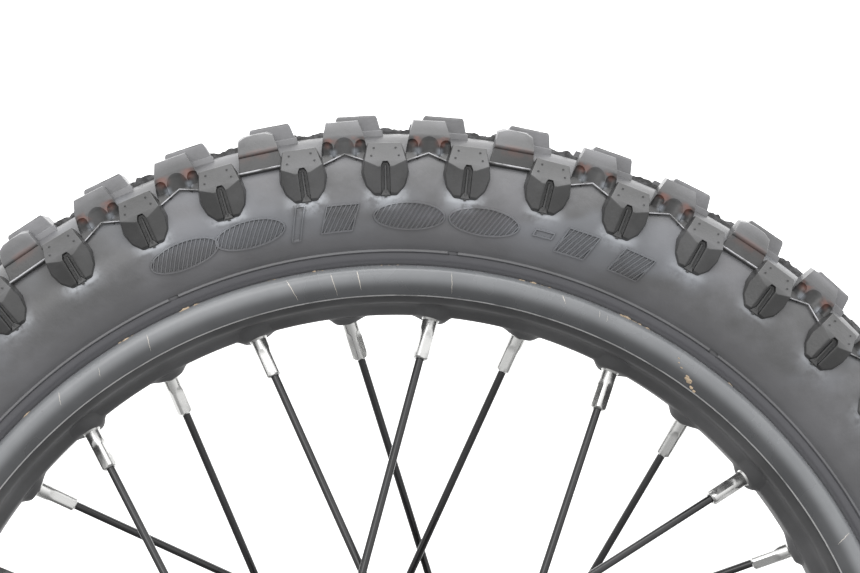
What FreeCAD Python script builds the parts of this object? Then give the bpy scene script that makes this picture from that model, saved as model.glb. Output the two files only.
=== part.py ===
import FreeCAD, Part
import math
import os
from collections import namedtuple
from FreeCAD import Vector

# Front wheel of a small off-road motorcycle: knobbly tyre 60/100-14 on a rolled steel
# rim 1.40x14, laced with 32 crossed spokes to an alloy hub that runs on two ball bearings.
#
# Frame: millimetres, origin at the wheel's centre. The axle lies along Y, +X is forward
# and +Z is up. Right is -Y and left, the brake disc side, is +Y. An angle round the wheel
# is measured in degrees from +Z towards +X.

# ---- driving dimensions -------------------------------------------------------------
PITCHES = 48                 # knobs in each row of the tyre
TREAD_R = 245.5              # top of the centre knobs
CROWN_R = 239.0              # tyre surface between the centre knobs
CARCASS_HALF = 30.3          # half the tyre's width, without its knobs
SIDE_R = 211.0               # radius at which the tyre is widest
BEAD_SEAT_R = 178.5          # where the tyre's bead sits on the rim
FLANGE_R = 190.0             # top of the rim's rolled flange
RIM_INSIDE_HALF = 17.75      # half of the 1.40 inch width between the flanges
RIM_SHEET = 1.8
WELL_R = 171.4               # middle of the sheet at the bottom of the well
SPOKES = 32
SPOKE_R = 1.5
AXLE_R = 7.5
FLANGE_Y = 36.0              # middle of a hub flange
FLANGE_T = 5.4
HUB_HOLE_R = 54.6            # circle of the spoke holes in the hub flanges
SPOKE_AIM_R = 180.0          # circle on which the lines of the spokes are evenly spaced
SPOKE_AIM_Y = 1.5            # their offset from the wheel's middle there
SPOKE_PHASE = 5.625          # angle of the first nipple
LEAN_OUTER = 28.125          # how far a spoke outside its flange leans round the wheel
LEAN_INNER = 16.875          # the same for a spoke inside its flange
HUB_HALF = 50.0              # half the hub's length
BEARING_INNER_Y = 34.0       # where each bearing rests on its shoulder
BEARING_WIDTH = 11.0         # ball bearing 15 x 35 x 11
BEARING_R = 17.5
BALL_CIRCLE_R = 12.5
BALL_R = 2.96
BALLS = 8
COLLAR_R = 12.0
COLLAR_END_Y = 57.0
VALVE_ANGLE = 202.5          # midway between two spokes that part
FIT = 0.05                   # radial running clearance

PITCH = 360.0 / PITCHES
SPOKE_STEP = 360.0 / SPOKES
AXIS = Vector(0, 1, 0)
ORIGIN = Vector(0, 0, 0)


# ---- helpers ------------------------------------------------------------------------
def radial(angle):
    """Unit vector from the axle outwards at an angle round the wheel."""
    turn = math.radians(angle)
    return Vector(math.sin(turn), 0, math.cos(turn))


def around(angle):
    """Unit vector along the wheel's edge, towards growing angles."""
    turn = math.radians(angle)
    return Vector(math.cos(turn), 0, -math.sin(turn))


def at(angle, radius, y):
    """Point at a radius and an angle round the wheel, at a place y along the axle."""
    return radial(angle) * radius + Vector(0, y, 0)


def section_point(point):
    """A (y, radius) pair as a point of the section that is turned about the axle."""
    return Vector(0, point[0], point[1])


def outline(*pieces):
    """Closed wire of a section. A piece of 2 points is a line and one of 3 an arc."""
    edges = []
    for piece in pieces:
        points = [section_point(point) for point in piece]
        if len(points) == 2:
            edges.append(Part.makeLine(points[0], points[1]))
        else:
            edges.append(Part.Arc(points[0], points[1], points[2]).toShape())
    return Part.Wire(Part.__sortEdges__(edges))


def polygon(*points):
    """Closed wire of a section through (y, radius) corners."""
    corners = [section_point(point) for point in points]
    return Part.makePolygon(corners + [corners[0]])


def turned(*wires):
    """Solid of revolution of a section. Wires after the first are hollows in it."""
    face = Part.Face(list(wires))
    return face.revolve(ORIGIN, AXIS, 360.0)


def ring(inner_r, outer_r, y_low, y_high):
    """Plain ring round the axle."""
    if inner_r <= 0:
        return Part.makeCylinder(outer_r, y_high - y_low, Vector(0, y_low, 0), AXIS)
    corners = ((y_low, inner_r), (y_high, inner_r), (y_high, outer_r), (y_low, outer_r))
    return turned(polygon(*corners))


def mirrored(points):
    """(y, radius) points with y reversed, in the opposite order."""
    return [(-y, radius) for y, radius in reversed(points)]


def frustum(centre, normal, along, size_base, size_top, height):
    """Block that tapers from a base rectangle to a top one. along is its length's direction."""
    across = normal.cross(along)
    faces = []
    corners = []
    for size, lift in ((size_base, 0.0), (size_top, height)):
        middle = centre + normal * lift
        for side_a, side_c in ((-1, -1), (1, -1), (1, 1), (-1, 1)):
            corners.append(middle + along * (side_a * size[0] / 2) + across * (side_c * size[1] / 2))
    quads = [(0, 1, 2, 3), (4, 5, 6, 7)]
    for corner in range(4):
        following = (corner + 1) % 4
        quads.append((corner, following, following + 4, corner + 4))
    for quad in quads:
        loop = [corners[index] for index in quad]
        faces.append(Part.Face(Part.makePolygon(loop + [loop[0]])))
    solid = Part.Solid(Part.Shell(faces))
    if solid.Volume < 0:
        solid.reverse()
    return solid


def save(name, shapes):
    """Write one sub-part. A list of shapes becomes a group of separate solids."""
    shape = shapes
    if isinstance(shapes, list):
        shape = shapes[0] if len(shapes) == 1 else Part.makeCompound(shapes)
    shape.exportStep("parts/" + name + ".step")
    print(name, len(shape.Solids), "solids", round(shape.Volume / 1000.0, 2), "cm3", shape.isValid())


# ---- tyre ---------------------------------------------------------------------------
CAVITY_CROWN_R = 235.3
BEAD_CORE_R = 183.4          # circle of the steel hoop in each bead
BEAD_CORE_Y = 14.2
BEAD_CORE_WIRE = 1.9
BEAD_HALF = 17.6             # just inside the rim's flange
TOE_Y = 9.4


def carcass():
    """The moulded casing without its knobs: crown, sidewalls and the two beads."""
    crown = (0, CROWN_R)
    shoulder = (18.0, 233.8)
    shoulder_mid = (26.6, 223.6)
    side = (CARCASS_HALF, SIDE_R)
    side_mid = (28.2, 201.2)
    neck = (21.2, 193.6)
    heel_top = (BEAD_HALF, 187.0)
    heel = (BEAD_HALF, BEAD_SEAT_R + 2.3)
    heel_low = (BEAD_HALF - 2.1, BEAD_SEAT_R + FIT)
    toe = (TOE_Y, BEAD_SEAT_R + 0.35)
    toe_top = (TOE_Y + 0.4, BEAD_SEAT_R + 2.4)
    inner_bead = (12.4, 188.2)
    inner_neck_mid = (21.2, 196.2)
    inner_side = (26.4, SIDE_R)
    inner_shoulder_mid = (23.2, 221.6)
    inner_shoulder = (15.5, 230.6)
    inner_crown = (0, CAVITY_CROWN_R)
    half = [
        (shoulder, shoulder_mid, side),
        (side, side_mid, neck),
        (neck, heel_top),
        (heel_top, heel),
        (heel, heel_low),
        (heel_low, toe),
        (toe, toe_top),
        (toe_top, inner_bead),
        (inner_bead, inner_neck_mid, inner_side),
        (inner_side, inner_shoulder_mid, inner_shoulder),
    ]
    crown_arc = ((-shoulder[0], shoulder[1]), crown, shoulder)
    inner_arc = ((-inner_shoulder[0], inner_shoulder[1]), inner_crown, inner_shoulder)
    other_half = [tuple(mirrored(piece)) for piece in half]
    section = outline(crown_arc, inner_arc, *half, *other_half)
    hollows = []
    for side_sign in (-1, 1):
        hole = Part.Circle(section_point((side_sign * BEAD_CORE_Y, BEAD_CORE_R)),
                           Vector(1, 0, 0), BEAD_CORE_WIRE + FIT)
        hollows.append(Part.Wire(hole.toShape()))
    return turned(section, *hollows)


# One row of tread blocks: angle of its first block, sides it is on, radius and offset of a
# block's root, its lean out from the radius, its size (along, across) at the root and at
# the top, and its height.
Row = namedtuple("Row", "phase sides root_r root_y lean root_size top_size height")
CENTRE_ROOT_R = CROWN_R - 3.4
CENTRE_HEIGHT = TREAD_R - 0.4 - CENTRE_ROOT_R
CENTRE_ROW = Row(4.8, (1,), CENTRE_ROOT_R, 0.0, 0.0, (17.4, 20.6), (14.0, 18.4), CENTRE_HEIGHT)
MIDDLE_ROW = Row(3.5, (-1, 1), 230.6, 15.6, 20.0, (16.0, 9.6), (11.6, 7.4), 11.6)
SHOULDER_ROW = Row(-0.45, (-1, 1), 222.6, 25.2, 62.0, (16.6, 18.4), (13.6, 13.4), 6.8)


def knobs():
    """Every tread block, rooted a little under the surface of the casing."""
    blocks = []
    for row in (CENTRE_ROW, MIDDLE_ROW, SHOULDER_ROW):
        lean = math.radians(row.lean)
        for number in range(PITCHES):
            angle = row.phase + number * PITCH
            for side in row.sides:
                root = at(angle, row.root_r, side * row.root_y)
                out = radial(angle) * math.cos(lean) + Vector(0, side * math.sin(lean), 0)
                blocks.append(frustum(root, out, around(angle), row.root_size, row.top_size, row.height))
    return blocks


def make_tyre():
    casing = carcass()
    tyre = casing.multiFuse(knobs())
    save("tyre", tyre.Solids)
    hoops = []
    for side in (-1, 1):
        centre = Vector(0, side * BEAD_CORE_Y, 0)
        hoops.append(Part.makeTorus(BEAD_CORE_R, BEAD_CORE_WIRE, centre, AXIS))
    save("tyre_bead_cores", hoops)


# ---- inner tube and its valve -----------------------------------------------------------
TUBE_WALL = 1.6
STRIP_LOW_R = 175.7
STRIP_HIGH_R = 177.0
STRIP_HALF = 6.6
VALVE_STEM_R = 4.0
VALVE_HOLE_R = 4.25
STEM_BASE_R = 178.0          # the stem's foot, against the tube
STEM_TOP_R = STEM_BASE_R + 3.2
STEM_END_R = 139.0
NOSE_R = 2.6                 # thinner end of the stem, under the cap
NOSE_LENGTH = 6.0
CORE_BORE_R = 1.6
CORE_BORE_LENGTH = 22.0
AIR_WAY_R = 1.0
PIN_R = 0.6
PIN_PROUD = 0.6              # how far the core's pin stands out of the stem
PIN_LENGTH = 19.0
CORE_SEAT_LENGTH = 5.0
CORE_SEAT_R = 1.5
CORE_COLLAR_R = 1.3
RIM_NUT_FLATS = 12.0
RIM_NUT_HEIGHT = 5.0
CAP_LOW_R = 133.5
CAP_HIGH_R = STEM_END_R + NOSE_LENGTH - 0.4
CAP_R = 4.6
CAP_ROOF = 2.0
CAP_GROOVES = 8
CAP_GROOVE_R = 0.9
PAST = 1.0                   # how far a cutting shape runs past the face that it opens


def tube_wire(shrink):
    """Section of the tube, pulled in from its outside by a wall thickness."""
    top = (0, 233.9 - shrink)
    wide = (23.6 - shrink, 207.0)
    lower_mid = (19.4 - shrink * 0.8, 196.8 + shrink * 0.6)
    waist = (11.4 - shrink * 0.9, 189.0 + shrink * 0.6)
    foot = (8.6 - shrink * 0.9, 181.4 + shrink * 0.4)
    foot_low = (5.6 - shrink * 0.4, 178.1 + shrink)
    half = [(wide, lower_mid, waist), (waist, foot), (foot, foot_low)]
    other_half = [tuple(mirrored(piece)) for piece in half]
    crown = (mirrored([wide])[0], top, wide)
    base = (mirrored([foot_low])[0], foot_low)
    return outline(crown, base, *half, *other_half)


def valve_rod(radius, low_r, high_r):
    """Round bar along the valve's line, between two distances from the axle."""
    out = radial(VALVE_ANGLE)
    return Part.makeCylinder(radius, high_r - low_r, out * low_r, out)


def valve_side_step(reach, turn_degrees):
    """Step across the valve's line."""
    turn = math.radians(turn_degrees)
    return around(VALVE_ANGLE) * (reach * math.cos(turn)) + AXIS * (reach * math.sin(turn))


def hexagon_nut(across_flats, low_r, high_r):
    out = radial(VALVE_ANGLE)
    reach = across_flats / math.sqrt(3)
    corners = [out * low_r + valve_side_step(reach, 60 * corner) for corner in range(6)]
    return Part.Face(Part.makePolygon(corners + [corners[0]])).extrude(out * (high_r - low_r))


def make_tube():
    """The tube, with the stem's hole through its foot, and the strip over the nipples."""
    hole = valve_rod(VALVE_STEM_R, STEM_BASE_R - 4, STEM_BASE_R + 6)
    tube = turned(tube_wire(0)).cut(turned(tube_wire(TUBE_WALL))).cut(hole)
    save("inner_tube", tube)
    strip = ring(STRIP_LOW_R, STRIP_HIGH_R, -STRIP_HALF, STRIP_HALF)
    save("rim_strip", strip.cut(valve_rod(VALVE_STEM_R + 0.5, STRIP_LOW_R - PAST, STRIP_HIGH_R + PAST)))


def make_valve():
    """Stem, the core that is pressed to let air out, the nut under the rim, and the cap."""
    stem = valve_rod(VALVE_STEM_R, STEM_END_R + NOSE_LENGTH, STEM_TOP_R)
    stem = stem.fuse(valve_rod(NOSE_R, STEM_END_R, STEM_END_R + NOSE_LENGTH))
    stem = stem.cut(valve_rod(CORE_BORE_R, STEM_END_R - PAST, STEM_END_R + CORE_BORE_LENGTH))
    stem = stem.cut(valve_rod(AIR_WAY_R, STEM_END_R, STEM_TOP_R + PAST))
    save("valve_stem", stem.removeSplitter())

    pin_end = STEM_END_R + PIN_LENGTH
    core = valve_rod(PIN_R, STEM_END_R - PIN_PROUD, pin_end)
    core = core.fuse(valve_rod(CORE_COLLAR_R, STEM_END_R + 1.5, STEM_END_R + 3))
    core = core.fuse(valve_rod(CORE_SEAT_R, pin_end - CORE_SEAT_LENGTH, pin_end))
    save("valve_core", core.removeSplitter())

    nut_high = WELL_R - RIM_SHEET / 2 - 0.3
    nut = hexagon_nut(RIM_NUT_FLATS, nut_high - RIM_NUT_HEIGHT, nut_high)
    nut_bore = valve_rod(VALVE_STEM_R + 0.01, nut_high - RIM_NUT_HEIGHT - PAST, nut_high + PAST)
    save("valve_rim_nut", nut.cut(nut_bore))

    cap = valve_rod(CAP_R, CAP_LOW_R, CAP_HIGH_R)
    cap = cap.cut(valve_rod(NOSE_R + FIT, CAP_LOW_R + CAP_ROOF, CAP_HIGH_R + PAST))
    grooves = []
    for number in range(CAP_GROOVES):
        step = valve_side_step(CAP_R + 0.5, number * 360.0 / CAP_GROOVES)
        foot = radial(VALVE_ANGLE) * (CAP_LOW_R + 1.5) + step
        grooves.append(Part.makeCylinder(CAP_GROOVE_R, 7.0, foot, radial(VALVE_ANGLE)))
    save("valve_cap", cap.cut(Part.makeCompound(grooves)))


# ---- spokes and nipples -------------------------------------------------------------
# The lacing repeats every four spokes. Each entry is the side of the hub that the spoke
# goes to, and the way its hub end leans round the wheel (+1 is towards smaller angles).
LACING = ((-1, 1), (1, 1), (-1, -1), (1, -1))
HOLE_SPOKE_R = SPOKE_R + 0.15
SPOKE_BEND_R = 2.2
HEAD_R = 2.9
FLANGE_OUT_R = 60.6
BEVEL_START_R = 50.0         # the flange's outer face slopes from here to its edge
BEVEL_DEPTH = 3.6
BEVEL_AT_HOLE = BEVEL_DEPTH * (HUB_HOLE_R - BEVEL_START_R) / (FLANGE_OUT_R - BEVEL_START_R)
ROW_OUTER_Y = FLANGE_Y + FLANGE_T / 2 - BEVEL_AT_HOLE + SPOKE_R + 0.35
ROW_INNER_Y = FLANGE_Y - FLANGE_T / 2 - SPOKE_R - 0.1
HEAD_LENGTH = 1.7
LENGTH_IN_FLANGE = FLANGE_T + 1.2 + SPOKE_R
NIPPLE_END_R = 152.6         # end of the nipple nearest the hub
NIPPLE_ROUND_R = 162.6       # from here to the rim it is round
NIPPLE_SEAT_R = 171.2
NIPPLE_HEAD_END_R = 173.8
NIPPLE_BODY_R = 2.75
NIPPLE_SQUARE_HALF = 2.35
NIPPLE_HEAD_R = 4.0
NIPPLE_CONE_LENGTH = 1.6     # from the body's width to the head's
NIPPLE_CONE_LOW = 1.2        # how far of it lies below the seat
SLOT_HALF = 0.5              # screwdriver slot in the head
SLOT_DEPTH = 1.0
THREAD_END_R = 171.6

# side is the hub flange's, outer says on which face of it the spoke lies, elbow and aim are
# points of the spoke's line, and line is its direction from the hub to the rim.
Spoke = namedtuple("Spoke", "side outer hub_angle elbow aim line")


def plan_spoke(number):
    side, sign = LACING[number % 4]
    outer = side * sign < 0
    lean = LEAN_OUTER if outer else LEAN_INNER
    rim_angle = SPOKE_PHASE + number * SPOKE_STEP
    hub_angle = rim_angle - sign * lean
    row_y = side * (ROW_OUTER_Y if outer else ROW_INNER_Y)
    elbow = at(hub_angle, HUB_HOLE_R, row_y)
    aim = at(rim_angle, SPOKE_AIM_R, side * SPOKE_AIM_Y)
    return Spoke(side, outer, hub_angle, elbow, aim, (aim - elbow).normalize())


def point_at_radius(spoke, radius):
    """Point of a spoke's line at a distance from the axle."""
    step = spoke.aim - spoke.elbow
    a = step.x ** 2 + step.z ** 2
    b = spoke.elbow.x * step.x + spoke.elbow.z * step.z
    c = spoke.elbow.x ** 2 + spoke.elbow.z ** 2 - radius ** 2
    return spoke.elbow + step * ((-b + math.sqrt(b * b - a * c)) / a)


def bent_spoke(spoke):
    """A spoke with its elbow, and the head on the other side of the flange."""
    inwards = Vector(0, -spoke.side if spoke.outer else spoke.side, 0)
    head_point = spoke.elbow + inwards * LENGTH_IN_FLANGE
    half_angle = math.acos(inwards.dot(spoke.line)) / 2
    setback = SPOKE_BEND_R / math.tan(half_angle)
    start = spoke.elbow + inwards * setback
    finish = spoke.elbow + spoke.line * setback
    bisector = (inwards + spoke.line).normalize()
    centre = spoke.elbow + bisector * (SPOKE_BEND_R / math.sin(half_angle))
    middle = centre - bisector * SPOKE_BEND_R
    path = Part.Wire([
        Part.makeLine(head_point, start),
        Part.Arc(start, middle, finish).toShape(),
        Part.makeLine(finish, point_at_radius(spoke, THREAD_END_R)),
    ])
    section = Part.Wire(Part.Circle(head_point, inwards, SPOKE_R).toShape())
    wire = path.makePipeShell([section], True, False)
    head = Part.makeCone(HEAD_R, HEAD_R * 0.7, HEAD_LENGTH, head_point, inwards)
    return wire.fuse(head).removeSplitter()


def nipple(spoke):
    """Square shank with a round shoulder and a slotted head inside the rim."""
    line = spoke.line
    end = point_at_radius(spoke, NIPPLE_END_R)
    seat = point_at_radius(spoke, NIPPLE_SEAT_R)
    top = point_at_radius(spoke, NIPPLE_HEAD_END_R)
    flats = (point_at_radius(spoke, NIPPLE_ROUND_R) - end).Length
    body = Part.makeCylinder(NIPPLE_BODY_R, (seat - end).Length + 0.5, end, line)
    across = line.cross(AXIS).normalize()
    upright = line.cross(across)
    reach = 2 * NIPPLE_BODY_R
    for direction in (across, across * -1, upright, upright * -1):
        other = line.cross(direction)
        corner = end + direction * NIPPLE_SQUARE_HALF - other * reach - line * PAST
        far_corner = corner + other * (2 * reach)
        plate = Part.makePolygon([corner, far_corner, far_corner + direction * reach,
                                  corner + direction * reach, corner])
        body = body.cut(Part.Face(plate).extrude(line * (flats + PAST)))
    cone_foot = seat - line * NIPPLE_CONE_LOW
    head = Part.makeCone(NIPPLE_BODY_R, NIPPLE_HEAD_R, NIPPLE_CONE_LENGTH, cone_foot, line)
    disc_foot = cone_foot + line * NIPPLE_CONE_LENGTH
    head = head.fuse(Part.makeCylinder(NIPPLE_HEAD_R, (top - disc_foot).Length, disc_foot, line))
    slot_corners = []
    for side_a, side_u in ((-1, -1), (1, -1), (1, 1), (-1, 1)):
        step = across * (side_a * reach) + upright * (side_u * SLOT_HALF)
        slot_corners.append(top + line * PAST + step)
    slot = Part.Face(Part.makePolygon(slot_corners + [slot_corners[0]]))
    cutter = slot.extrude(line * -(SLOT_DEPTH + PAST))
    bore = Part.makeCylinder(SPOKE_R + 0.01, (top - end).Length + 4 * PAST, end - line * 2 * PAST, line)
    return body.fuse(head).cut(cutter).cut(bore)


def make_spokes_and_nipples():
    """Each of the four rows of eight is a group of its own."""
    spokes = {}
    nipples = {}
    for number in range(SPOKES):
        spoke = plan_spoke(number)
        row = ("right_" if spoke.side < 0 else "left_") + ("outer_" if spoke.outer else "inner_")
        spokes.setdefault(row, []).append(bent_spoke(spoke))
        nipples.setdefault(row, []).append(nipple(spoke))
    for row in sorted(spokes):
        save(row + "spokes", spokes[row])
        save(row + "nipples", nipples[row])


# ---- rim ----------------------------------------------------------------------------
WELL_HALF = 5.6
WELL_TOP_HALF = 10.4
BOSS_BASE_R = 9.0
BOSS_TOP_R = 5.6
BOSS_HEIGHT = 3.4
FLANGE_MID_Y = RIM_INSIDE_HALF + RIM_SHEET / 2
CURL_R = 2.9                 # middle of the sheet in the flange's curl
FREE_EDGE_R = 180.2
NIPPLE_HOLE_R = NIPPLE_BODY_R + 0.15
POCKET_R = NIPPLE_HEAD_R + 0.5   # room for the nipple's head in the boss
POCKET_LOW = 1.45                # start of the pocket's cone below the seat
POCKET_CONE_LENGTH = 1.7


def rim_section():
    """Rolled sheet: drop well, bead seats, flanges and the curl back to a free edge."""
    half = [
        (WELL_HALF, WELL_R),
        (WELL_TOP_HALF, BEAD_SEAT_R - RIM_SHEET / 2),
        (FLANGE_MID_Y - 2.2, BEAD_SEAT_R - RIM_SHEET / 2),
        (FLANGE_MID_Y, BEAD_SEAT_R + 1.5),
        (FLANGE_MID_Y, FLANGE_R - RIM_SHEET / 2 - CURL_R),
    ]
    curl_start = half[-1]
    curl_top = (FLANGE_MID_Y + CURL_R, FLANGE_R - RIM_SHEET / 2)
    curl_end = (FLANGE_MID_Y + 2 * CURL_R, FLANGE_R - RIM_SHEET / 2 - CURL_R)
    free_edge = (FLANGE_MID_Y + 2 * CURL_R - 0.5, FREE_EDGE_R)
    edges = []
    for sign in (-1, 1):
        flat = [section_point((sign * y, radius)) for y, radius in half]
        edges.extend(Part.makeLine(first, second) for first, second in zip(flat, flat[1:]))
        arc = [section_point((sign * y, radius)) for y, radius in (curl_start, curl_top, curl_end)]
        edges.append(Part.Arc(arc[0], arc[1], arc[2]).toShape())
        edges.append(Part.makeLine(arc[2], section_point((sign * free_edge[0], free_edge[1]))))
    edges.append(Part.makeLine(section_point((-WELL_HALF, WELL_R)), section_point((WELL_HALF, WELL_R))))
    middle = Part.Wire(Part.__sortEdges__(edges))
    return middle.makeOffset2D(RIM_SHEET / 2, 0, False, False)


def make_rim():
    """The rolled rim with a pressed boss and a seat for each nipple, and the valve's hole."""
    rim = turned(rim_section())
    bosses = []
    cuts = [valve_rod(VALVE_HOLE_R, STRIP_LOW_R - 15, STRIP_HIGH_R + 8)]
    for number in range(SPOKES):
        spoke = plan_spoke(number)
        line = spoke.line
        face = point_at_radius(spoke, WELL_R - RIM_SHEET / 2 - BOSS_HEIGHT)
        bosses.append(Part.makeCone(BOSS_TOP_R, BOSS_BASE_R, BOSS_HEIGHT + 0.8, face, line))
        cuts.append(Part.makeCylinder(NIPPLE_HOLE_R, 12, face - line * 3, line))
        pocket = point_at_radius(spoke, NIPPLE_SEAT_R) - line * POCKET_LOW
        cuts.append(Part.makeCone(NIPPLE_HOLE_R, POCKET_R, POCKET_CONE_LENGTH, pocket, line))
        cuts.append(Part.makeCylinder(POCKET_R, 6, pocket + line * POCKET_CONE_LENGTH, line))
    rim = rim.multiFuse(bosses).cut(Part.makeCompound(cuts))
    save("rim", rim.Solids)


# ---- hub, bearings and axle parts ---------------------------------------------------
BARREL_R = 21.5
BOSS_R = 23.5
DISC_FACE_Y = 46.0
DISC_PAD_R = 45.0
SPIGOT_R = 29.0
DISC_BOLT_CIRCLE_R = 38.0
DISC_BOLTS = 4
DISC_BOLT_PHASE = 45.0
DISC_HOLE_R = 3.4            # tapping size of an M8 thread
LIGHTENING_HOLES = 8
LIGHTENING_PHASE = 22.5
LIGHTENING_CIRCLE_R = 43.0
LIGHTENING_R = 6.5
BARREL_STRAIGHT_HALF = 12.0
FLARE_HEIGHT = 15.0
SEAT_LIP_R = 13.5            # between the bearings


def hub_section():
    """Right flange at -Y, left flange with the disc face at +Y, and a waisted barrel between."""
    flange_in = FLANGE_Y - FLANGE_T / 2
    flange_out = FLANGE_Y + FLANGE_T / 2
    flare_top = (flange_in, BARREL_R + FLARE_HEIGHT)
    flare_mid = (flange_in - 5.5, BARREL_R + FLARE_HEIGHT / 3)
    flare = (flare_top, flare_mid, (BARREL_STRAIGHT_HALF, BARREL_R))
    edge_low = (flange_in, FLANGE_OUT_R - 1.0)
    edge_mid = (flange_in + 0.3, FLANGE_OUT_R - 0.3)
    edge_top = (flange_in + 1.0, FLANGE_OUT_R)
    shared = [
        flare,
        (flare_top, edge_low),
        (edge_low, edge_mid, edge_top),
        (edge_top, (flange_out - BEVEL_DEPTH, FLANGE_OUT_R)),
        ((flange_out - BEVEL_DEPTH, FLANGE_OUT_R), (flange_out, BEVEL_START_R)),
    ]
    web_foot = (flange_out, BOSS_R + 8.0)
    web_mid = (flange_out + 1.9, BOSS_R + 2.4)
    boss_side = (flange_out + 6.0, BOSS_R)
    right = [
        ((flange_out, BEVEL_START_R), web_foot),
        (web_foot, web_mid, boss_side),
        (boss_side, (HUB_HALF - 1.0, BOSS_R)),
        ((HUB_HALF - 1.0, BOSS_R), (HUB_HALF, BOSS_R - 1.0)),
        ((HUB_HALF, BOSS_R - 1.0), (HUB_HALF, BEARING_R)),
    ]
    pad_mid = (DISC_FACE_Y - 0.9, DISC_PAD_R + 0.3)
    left = [
        ((flange_out, BEVEL_START_R), (flange_out, DISC_PAD_R + 2.5)),
        ((flange_out, DISC_PAD_R + 2.5), pad_mid),
        (pad_mid, (DISC_FACE_Y, DISC_PAD_R - 0.6)),
        ((DISC_FACE_Y, DISC_PAD_R - 0.6), (DISC_FACE_Y, SPIGOT_R)),
        ((DISC_FACE_Y, SPIGOT_R), (HUB_HALF, SPIGOT_R)),
        ((HUB_HALF, SPIGOT_R), (HUB_HALF, BEARING_R)),
    ]
    bore = [
        ((HUB_HALF, BEARING_R), (BEARING_INNER_Y, BEARING_R)),
        ((BEARING_INNER_Y, BEARING_R), (BEARING_INNER_Y, SEAT_LIP_R)),
    ]
    pieces = [
        ((-BARREL_STRAIGHT_HALF, BARREL_R), (BARREL_STRAIGHT_HALF, BARREL_R)),
        ((-BEARING_INNER_Y, SEAT_LIP_R), (BEARING_INNER_Y, SEAT_LIP_R)),
    ]
    pieces += shared + left + bore
    pieces += [tuple(mirrored(piece)) for piece in shared + right + bore]
    return outline(*pieces)


def make_hub():
    """The turned hub, drilled for the spokes, for the disc's bolts and for lightness."""
    cuts = []
    for number in range(SPOKES):
        spoke = plan_spoke(number)
        start = at(spoke.hub_angle, HUB_HOLE_R, spoke.side * (FLANGE_Y - FLANGE_T))
        cuts.append(Part.makeCylinder(HOLE_SPOKE_R, 2 * FLANGE_T, start, AXIS * spoke.side))
    bolt_hole_length = DISC_FACE_Y - FLANGE_Y + FLANGE_T + PAST
    for number in range(DISC_BOLTS):
        angle = DISC_BOLT_PHASE + number * 360.0 / DISC_BOLTS
        start = at(angle, DISC_BOLT_CIRCLE_R, FLANGE_Y - FLANGE_T)
        cuts.append(Part.makeCylinder(DISC_HOLE_R, bolt_hole_length, start, AXIS))
    for number in range(LIGHTENING_HOLES):
        angle = LIGHTENING_PHASE + number * 360.0 / LIGHTENING_HOLES
        start = at(angle, LIGHTENING_CIRCLE_R, -FLANGE_Y - FLANGE_T)
        cuts.append(Part.makeCylinder(LIGHTENING_R, 2 * FLANGE_T, start, AXIS))
    save("hub", turned(hub_section()).cut(Part.makeCompound(cuts)))


GROOVE_R = BALL_R + FIT
INNER_SHOULDER_R = 10.8
OUTER_SHOULDER_R = 14.3
CAGE_HALF = 4.0
CAGE_GAP = 0.5
SHIELD_T = 0.7
SHIELD_IN = 0.3              # how far a shield lies inside the race's face
RECESS_R = OUTER_SHOULDER_R + 0.5
RECESS_DEPTH = SHIELD_IN + SHIELD_T
DISTANCE_TUBE_R = 10.0


def make_bearing(name, side):
    """Deep groove ball bearing with its balls in a one-piece cage and two shields."""
    low = BEARING_INNER_Y if side > 0 else -BEARING_INNER_Y - BEARING_WIDTH
    high = low + BEARING_WIDTH
    middle = (low + high) / 2
    groove = Part.makeTorus(BALL_CIRCLE_R, GROOVE_R, Vector(0, middle, 0), AXIS)
    outer = ring(OUTER_SHOULDER_R, BEARING_R, low, high).cut(groove)
    for edge_low, edge_high in ((low - PAST, low + RECESS_DEPTH), (high - RECESS_DEPTH, high + PAST)):
        outer = outer.cut(ring(OUTER_SHOULDER_R - PAST, RECESS_R, edge_low, edge_high))
    save(name + "_bearing_outer_race", outer)
    save(name + "_bearing_inner_race", ring(AXLE_R, INNER_SHOULDER_R, low, high).cut(groove))
    balls = []
    pockets = []
    for number in range(BALLS):
        angle = number * 360.0 / BALLS
        balls.append(Part.makeSphere(BALL_R, at(angle, BALL_CIRCLE_R, middle)))
        pocket_foot = at(angle, AXLE_R, middle)
        pockets.append(Part.makeCylinder(GROOVE_R, BEARING_R - AXLE_R, pocket_foot, radial(angle)))
    save(name + "_bearing_balls", balls)
    cage_inner_r = INNER_SHOULDER_R + CAGE_GAP
    cage = ring(cage_inner_r, OUTER_SHOULDER_R - CAGE_GAP, middle - CAGE_HALF, middle + CAGE_HALF)
    save(name + "_bearing_cage", cage.cut(Part.makeCompound(pockets)))
    shields = []
    for edge in (low + SHIELD_IN, high - SHIELD_IN - SHIELD_T):
        shields.append(ring(INNER_SHOULDER_R + FIT, RECESS_R, edge, edge + SHIELD_T))
    save(name + "_bearing_shields", shields)


SEAL_LOW_Y = 45.4
SEAL_HIGH_Y = 49.6
SEAL_INSIDE_R = 14.2
SEAL_LIP_LENGTH = 1.6


def make_seal(name, side):
    """Rubber dust seal pressed into the hub; its lip runs on the collar."""
    lip = COLLAR_R + FIT
    lip_low = SEAL_HIGH_Y - SEAL_LIP_LENGTH
    corners = ((SEAL_LOW_Y, SEAL_INSIDE_R), (SEAL_LOW_Y, BEARING_R), (SEAL_HIGH_Y, BEARING_R),
               (SEAL_HIGH_Y, lip + 1.2), (SEAL_HIGH_Y - SEAL_LIP_LENGTH / 2, lip),
               (lip_low, lip + 1.0), (lip_low, SEAL_INSIDE_R))
    save(name + "_dust_seal", turned(polygon(*[(side * y, radius) for y, radius in corners])))


COLLAR_FOOT_R = 10.0         # where the collar presses on the inner race
COLLAR_FOOT_LENGTH = 1.0
COLLAR_CHAMFER = 0.8


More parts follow.
